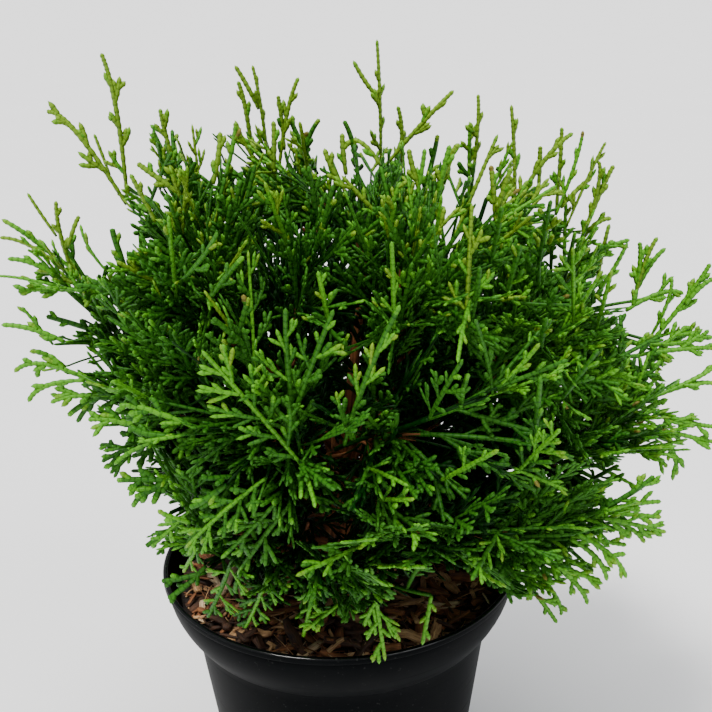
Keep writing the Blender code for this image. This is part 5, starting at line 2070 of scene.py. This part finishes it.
    def litter(self) -> None:
        """All the bark: chips in four tints, fibres between them and crumbs."""
        rng = self.rng
        surface = Surface()
        length = np.clip(rng.gamma(3.0, 0.0036, self.chips), 0.004, 0.024)
        width = np.clip(length * rng.uniform(0.07, 0.19, self.chips), 0.0004, 0.0024)
        thick = width * rng.uniform(0.22, 0.55, self.chips)
        lift = rng.uniform(*self.chip_lift, self.chips)
        points, quads, triangles, grain = self.shards(self.chips, length, width, thick, self.chip_tilt, lift)
        tint = rng.choice(4, self.chips, p=self.chip_tints)
        surface.add(points, quads, triangles, grain, np.repeat(tint, len(quads) // self.chips))
        length = rng.uniform(*self.fibre_length, self.fibres)
        thin = rng.uniform(*self.fibre_width, self.fibres)
        lift = rng.uniform(*self.fibre_lift, self.fibres)
        points, quads, triangles, grain = self.shards(self.fibres, length, thin, thin, self.fibre_tilt, lift)
        tint = rng.choice(4, self.fibres, p=self.fibre_tints)
        surface.add(points, quads, triangles, grain, np.repeat(tint, len(quads) // self.fibres))
        self.add_crumbs(surface)
        finishes = [
            SplitWood("bark_dark", (0.020, 0.009, 0.005), (0.120, 0.050, 0.023)),
            SplitWood("bark_red", (0.110, 0.038, 0.014), (0.460, 0.180, 0.065)),
            SplitWood("bark_tan", (0.300, 0.140, 0.055), (0.850, 0.520, 0.250)),
            SplitWood("bark_pale", (0.550, 0.340, 0.170), (0.950, 0.750, 0.480)),
        ]
        made = surface.piece("bark_mulch", [finish.material() for finish in finishes], "grain", smooth=False)
        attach(made, BODY)
        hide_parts("mulch")
        LOG.info("%s: %d triangles", made.name, surface.weight())

    def add_crumbs(self, surface: Surface) -> None:
        """Adds small eight-sided crumbs of bark, each of its own size and squeezed at random.

        Args:
            surface: what they are added to.
        """
        rng = self.rng
        spot = self.spots(self.crumbs, self.trunk_radius, self.chip_reach)
        size = np.clip(rng.gamma(3.0, 0.00028, self.crumbs), 0.0003, 0.0020)
        height = self.surface_height(spot[:, 0], spot[:, 1]) + rng.uniform(0.0, self.crumb_lift, self.crumbs)
        middle = np.concatenate([spot, height[:, None]], axis=1)
        shape = np.array([[1, 0, 0], [0, 1, 0], [-1, 0, 0], [0, -1, 0], [0, 0, 1], [0, 0, -1]], float)
        squeezed = shape * rng.uniform(0.5, 1.3, (self.crumbs, 6, 1))
        spin = rng.uniform(0, 2 * math.pi, self.crumbs)
        x, y, z = np.moveaxis(squeezed, -1, 0)
        cos, sin = np.cos(spin)[:, None], np.sin(spin)[:, None]
        offset = np.stack([x * cos - y * sin, x * sin + y * cos, z * 0.7], axis=-1)
        points = (middle[:, None] + offset * size[:, None, None]).reshape(-1, 3)
        faces = np.array([
            [0, 1, 4], [1, 2, 4], [2, 3, 4], [3, 0, 4], [1, 0, 5], [2, 1, 5], [3, 2, 5], [0, 3, 5],
        ])
        triangles = copied(faces, self.crumbs, len(shape))
        tint = np.repeat(rng.choice(3, self.crumbs, p=self.crumb_tints), len(faces))
        surface.add(points, np.zeros((0, 4), int), triangles, points * 0.4, None, tint)

    def build(self) -> None:
        """Soil, then bark."""
        self.soil_body()
        self.litter()


@dataclass
class Wood:
    """The trunk, the boughs and the twigs inside the leaves, with fibrous bark in relief."""

    rule: CrownRule
    limbs: list[Limb]
    forks: list[Limb]
    bark: FibrousBark = FibrousBark()
    trunk_steps: int = 72
    bough_steps: int = 20
    twig_steps: int = 8
    bare_share: float = 0.42
    slim_from: float = 0.27
    trunk_relief: float = 0.11
    bough_relief: float = 0.10
    twig_relief: float = 0.08
    fibre_length: float = 0.009
    knot_length: float = 0.006
    buttresses: int = 5
    buttress_depth: float = 0.16
    buttress_height: float = 0.010

    def tube(self, path: Array, radii: Array, steps: int, relief: float, seed: int, surface: Surface) -> None:
        """Adds a limb: a ring of points round every station of a path.

        Place = path + r (cos a * side + sin a * up), with the frame carried along the path so that
        it doesn't spin, and r = radius * (1 + relief * fibres), where the fibres are smooth random
        ridges, many round the limb and long along it.

        Args:
            path: (n, 3) stations.
            radii: (n,) radii.
            steps: points in a ring.
            relief: height of the fibres against the radius.
            seed: which fibres.
            surface: what it is added to.
        """
        run = unit(np.gradient(path, axis=0))
        guide = np.array([0.32, 0.91, 0.27])
        side = unit(guide - run * (run @ guide)[:, None])
        rise = np.cross(run, side)
        angle = np.linspace(0, 2 * math.pi, steps, endpoint=False)
        along = np.concatenate([[0.0], np.cumsum(np.linalg.norm(np.diff(path, axis=0), axis=1))])
        cells = max(4, steps // 4)
        turn = np.broadcast_to(angle, (len(path), steps))
        way = np.broadcast_to(along[:, None], turn.shape)
        ridges = lattice_noise(turn / (2 * math.pi) * cells, way / self.fibre_length + 7, seed, (cells, 61))
        knots = lattice_noise(turn * 0 + 3.3, way / self.knot_length + 3, seed + 1)
        radius = radii[:, None] * (1 + relief * ridges + 0.5 * relief * knots)
        offset = np.cos(angle)[None, :, None] * side[:, None] + np.sin(angle)[None, :, None] * rise[:, None]
        points = (path[:, None] + radius[..., None] * offset).reshape(-1, 3)
        here, last = np.arange(steps), (len(path) - 1) * steps
        after = (here + 1) % steps
        ends = np.stack([path[0], path[-1] + run[-1] * radii[-1]])
        fans = np.concatenate([
            np.stack([np.full(steps, len(points)), after, here], -1),
            np.stack([np.full(steps, len(points) + 1), last + here, last + after], -1),
        ])
        grain = np.stack([np.cos(turn), np.sin(turn), way], axis=-1).reshape(-1, 3)
        grain = np.concatenate([grain + seed * 0.37, np.zeros((2, 3))])
        surface.add(np.concatenate([points, ends]), ring_quads(len(path), steps), fans, grain)

    def trunk(self) -> None:
        """The trunk, its foot widened by low buttresses that die out a little way up."""
        surface = Surface()
        share = np.linspace(0, 1, 90) ** 1.4
        foot, top = self.rule.foot - 0.0012, self.rule.foot + self.rule.flare_heights[-1]
        heights = foot + (top - foot) * share
        path = self.rule.trunk_place(heights)
        radii = self.rule.trunk_radius(np.maximum(heights, self.rule.foot))
        self.tube(path, radii, self.trunk_steps, self.trunk_relief, 41, surface)
        points = surface.points[0][:-2].reshape(len(path), self.trunk_steps, 3)
        angle = np.arctan2(points[..., 1] - path[:, None, 1], points[..., 0] - path[:, None, 0])
        above = np.maximum(heights - self.rule.foot, 0)
        swell = self.buttress_depth * np.exp(-above / self.buttress_height)[:, None]
        widened = 1 + swell * (np.cos(self.buttresses * angle + 0.6) + 0.4 * np.cos(2 * angle))
        points[..., :2] = path[:, None, :2] + (points[..., :2] - path[:, None, :2]) * widened[..., None]
        made = surface.piece("trunk_bark", [self.bark.material()], "grain")
        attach(made, BODY)
        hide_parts("trunk")
        LOG.info("%s: %d triangles", made.name, surface.weight())

    def boughs(self) -> None:
        """Every bough, from inside the trunk to where its stem goes on."""
        surface = Surface()
        names = []
        for index, limb in enumerate(self.limbs):
            if limb.joint <= 0:
                continue
            last = int(limb.joint * (len(limb.path) - 1)) + 1
            radii = limb.radii[:last] * (1 + 0.45 * np.exp(-np.arange(last) / 2.2))
            self.tube(limb.path[:last], radii, self.bough_steps, self.bough_relief, 60 + index, surface)
            names.append(f"bough_{limb.name}")
        made = surface.piece("bough_bark", [self.bark.material()], "grain")
        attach(made, BODY)
        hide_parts(*names)
        LOG.info("%s: %d triangles", made.name, surface.weight())

    def twigs(self) -> None:
        """The stems inside the leaves and the twigs that fork from them."""
        surface = Surface()
        for index, stem in enumerate([*self.limbs, *self.forks]):
            count = len(stem.path)
            first = int(stem.joint * (count - 1)) if index < len(self.limbs) else 0
            last = max(int(self.bare_share * count), first + 6)
            marks = (self.slim_from, last / count)
            radii = stem.radii[first:last] * np.interp(np.arange(first, last) / count, marks, (1.0, 0.35))
            self.tube(stem.path[first:last], radii, self.twig_steps, self.twig_relief, 90 + index, surface)
        made = surface.piece("twig_bark", [self.bark.material()], "grain")
        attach(made, BODY)
        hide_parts(*[f"foliage_{limb.name}" for limb in self.limbs])
        LOG.info("%s: %d triangles", made.name, surface.weight())

    def build(self) -> None:
        """Trunk, boughs and twigs."""
        self.trunk()
        self.boughs()
        self.twigs()


@dataclass
class Studio:
    """A plain pale floor, soft light and the camera at the photo's angle."""

    floor_side: float = 60.0
    floor_colour: Colour = (0.90, 0.90, 0.915)
    sky: Colour = (0.93, 0.95, 1.0)
    sky_strength: float = 0.37
    lens: float = 55.6
    sensor_width: float = 36.0
    camera_place: Place = EYE
    camera_tilt: float = 69.3
    camera_roll: float = -1.38

    def floor(self) -> None:
        """A square of matt floor under the pot."""
        half = self.floor_side / 2
        surface = Surface()
        corners = half * np.array([[-1, -1, 0], [1, -1, 0], [1, 1, 0], [-1, 1, 0]])
        surface.add(corners, np.array([[0, 1, 2, 3]]), NO_TRIANGLES)
        graph = Graph("studio_floor")
        grain = graph.noise(graph.place(), 6.0, 3.0)
        paler = tuple(min(1.0, 1.04 * part) for part in self.floor_colour)
        graph.put(graph.shader, "Base Color", graph.mixed(grain, self.floor_colour, paler))
        graph.put(graph.shader, "Roughness", 0.75)
        made = surface.piece("studio_floor", [graph.material])

    def light(self, name: str, place: Place, spread: float, strength: float, colour: Colour) -> None:
        """A soft light from far away, so the floor is lit alike everywhere.

        Args:
            name: its name.
            place: where it stands, looking at the origin.
            spread: how wide it is seen from the plant, in degrees.
            strength: its strength.
            colour: its colour.
        """
        lamp = bpy.data.lights.new(name, "SUN")
        lamp.angle = math.radians(spread)
        lamp.energy = strength
        lamp.color = colour
        made = bpy.data.objects.new(name, lamp)
        made.location = place
        made.rotation_euler = (-Vector(place)).to_track_quat("-Z", "Y").to_euler()
        bpy.context.scene.collection.objects.link(made)

    def world(self) -> None:
        """An even pale sky."""
        world = bpy.data.worlds.new("studio_sky")
        world.use_nodes = True
        back = world.node_tree.nodes["Background"]
        back.inputs["Color"].default_value = (*self.sky, 1.0)
        back.inputs["Strength"].default_value = self.sky_strength
        bpy.context.scene.world = world

    def camera(self) -> None:
        """The camera where the photo was taken from."""
        lens = bpy.data.cameras.new("photo_camera")
        lens.lens = self.lens
        lens.sensor_width = self.sensor_width
        lens.clip_start = 0.01
        made = bpy.data.objects.new("photo_camera", lens)
        turn = Matrix.Rotation(math.radians(self.camera_tilt), 4, "X")
        made.rotation_euler = (turn @ Matrix.Rotation(math.radians(self.camera_roll), 4, "Z")).to_euler()
        made.location = self.camera_place
        bpy.context.scene.collection.objects.link(made)
        bpy.context.scene.camera = made

    def build(self) -> None:
        """Floor, sky, lights and camera."""
        self.floor()
        self.world()
        self.light("key_light", (-0.45, -0.42, 1.25), 16.0, 4.2, (1.0, 0.985, 0.95))
        self.light("fill_light", (0.80, -0.70, 1.00), 30.0, 0.7, (0.97, 0.98, 1.0))
        self.light("top_light", (0.10, 0.20, 1.40), 50.0, 1.9, (1.0, 1.0, 0.98))
        self.camera()


def main() -> None:
    """Builds every part of the dressed plant in order."""
    logging.basicConfig(level=logging.INFO, format="%(name)s: %(message)s")
    rule = CrownRule()
    limbs = rule.limbs()
    # The first three greens are one leaf in painted shade, half light and full light, and also older and
    # fresher growth.
    greens = [
        ScaleLeaf("leaf_deep", (0.0008, 0.0130, 0.0006), (0.005, 0.046, 0.002), 0.10),
        ScaleLeaf("leaf_green", (0.006, 0.060, 0.002), (0.044, 0.188, 0.009), 0.15),
        ScaleLeaf("leaf_fresh_lit", (0.028, 0.148, 0.003), (0.108, 0.362, 0.012)),
        ScaleLeaf("leaf_tip", (0.070, 0.192, 0.005), (0.158, 0.358, 0.014)),
        ScaleLeaf("leaf_worn", (0.085, 0.085, 0.010), (0.190, 0.160, 0.022)),
        ScaleLeaf("leaf_olive", (0.060, 0.142, 0.004), (0.185, 0.340, 0.014)),
    ]
    NurseryPot().build()
    SoilAndMulch().build()
    foliage = Foliage(rule, limbs)
    between = foliage.between_stems()
    forks = [*foliage.fork_twigs([*limbs, *between]), *foliage.accent_twigs([*limbs, *between])]
    Wood(rule, limbs, [*between, *forks]).build()
    foliage.build(greens, [*limbs, *between], forks)
    Studio().build()


if __name__ == "__main__":
    main()
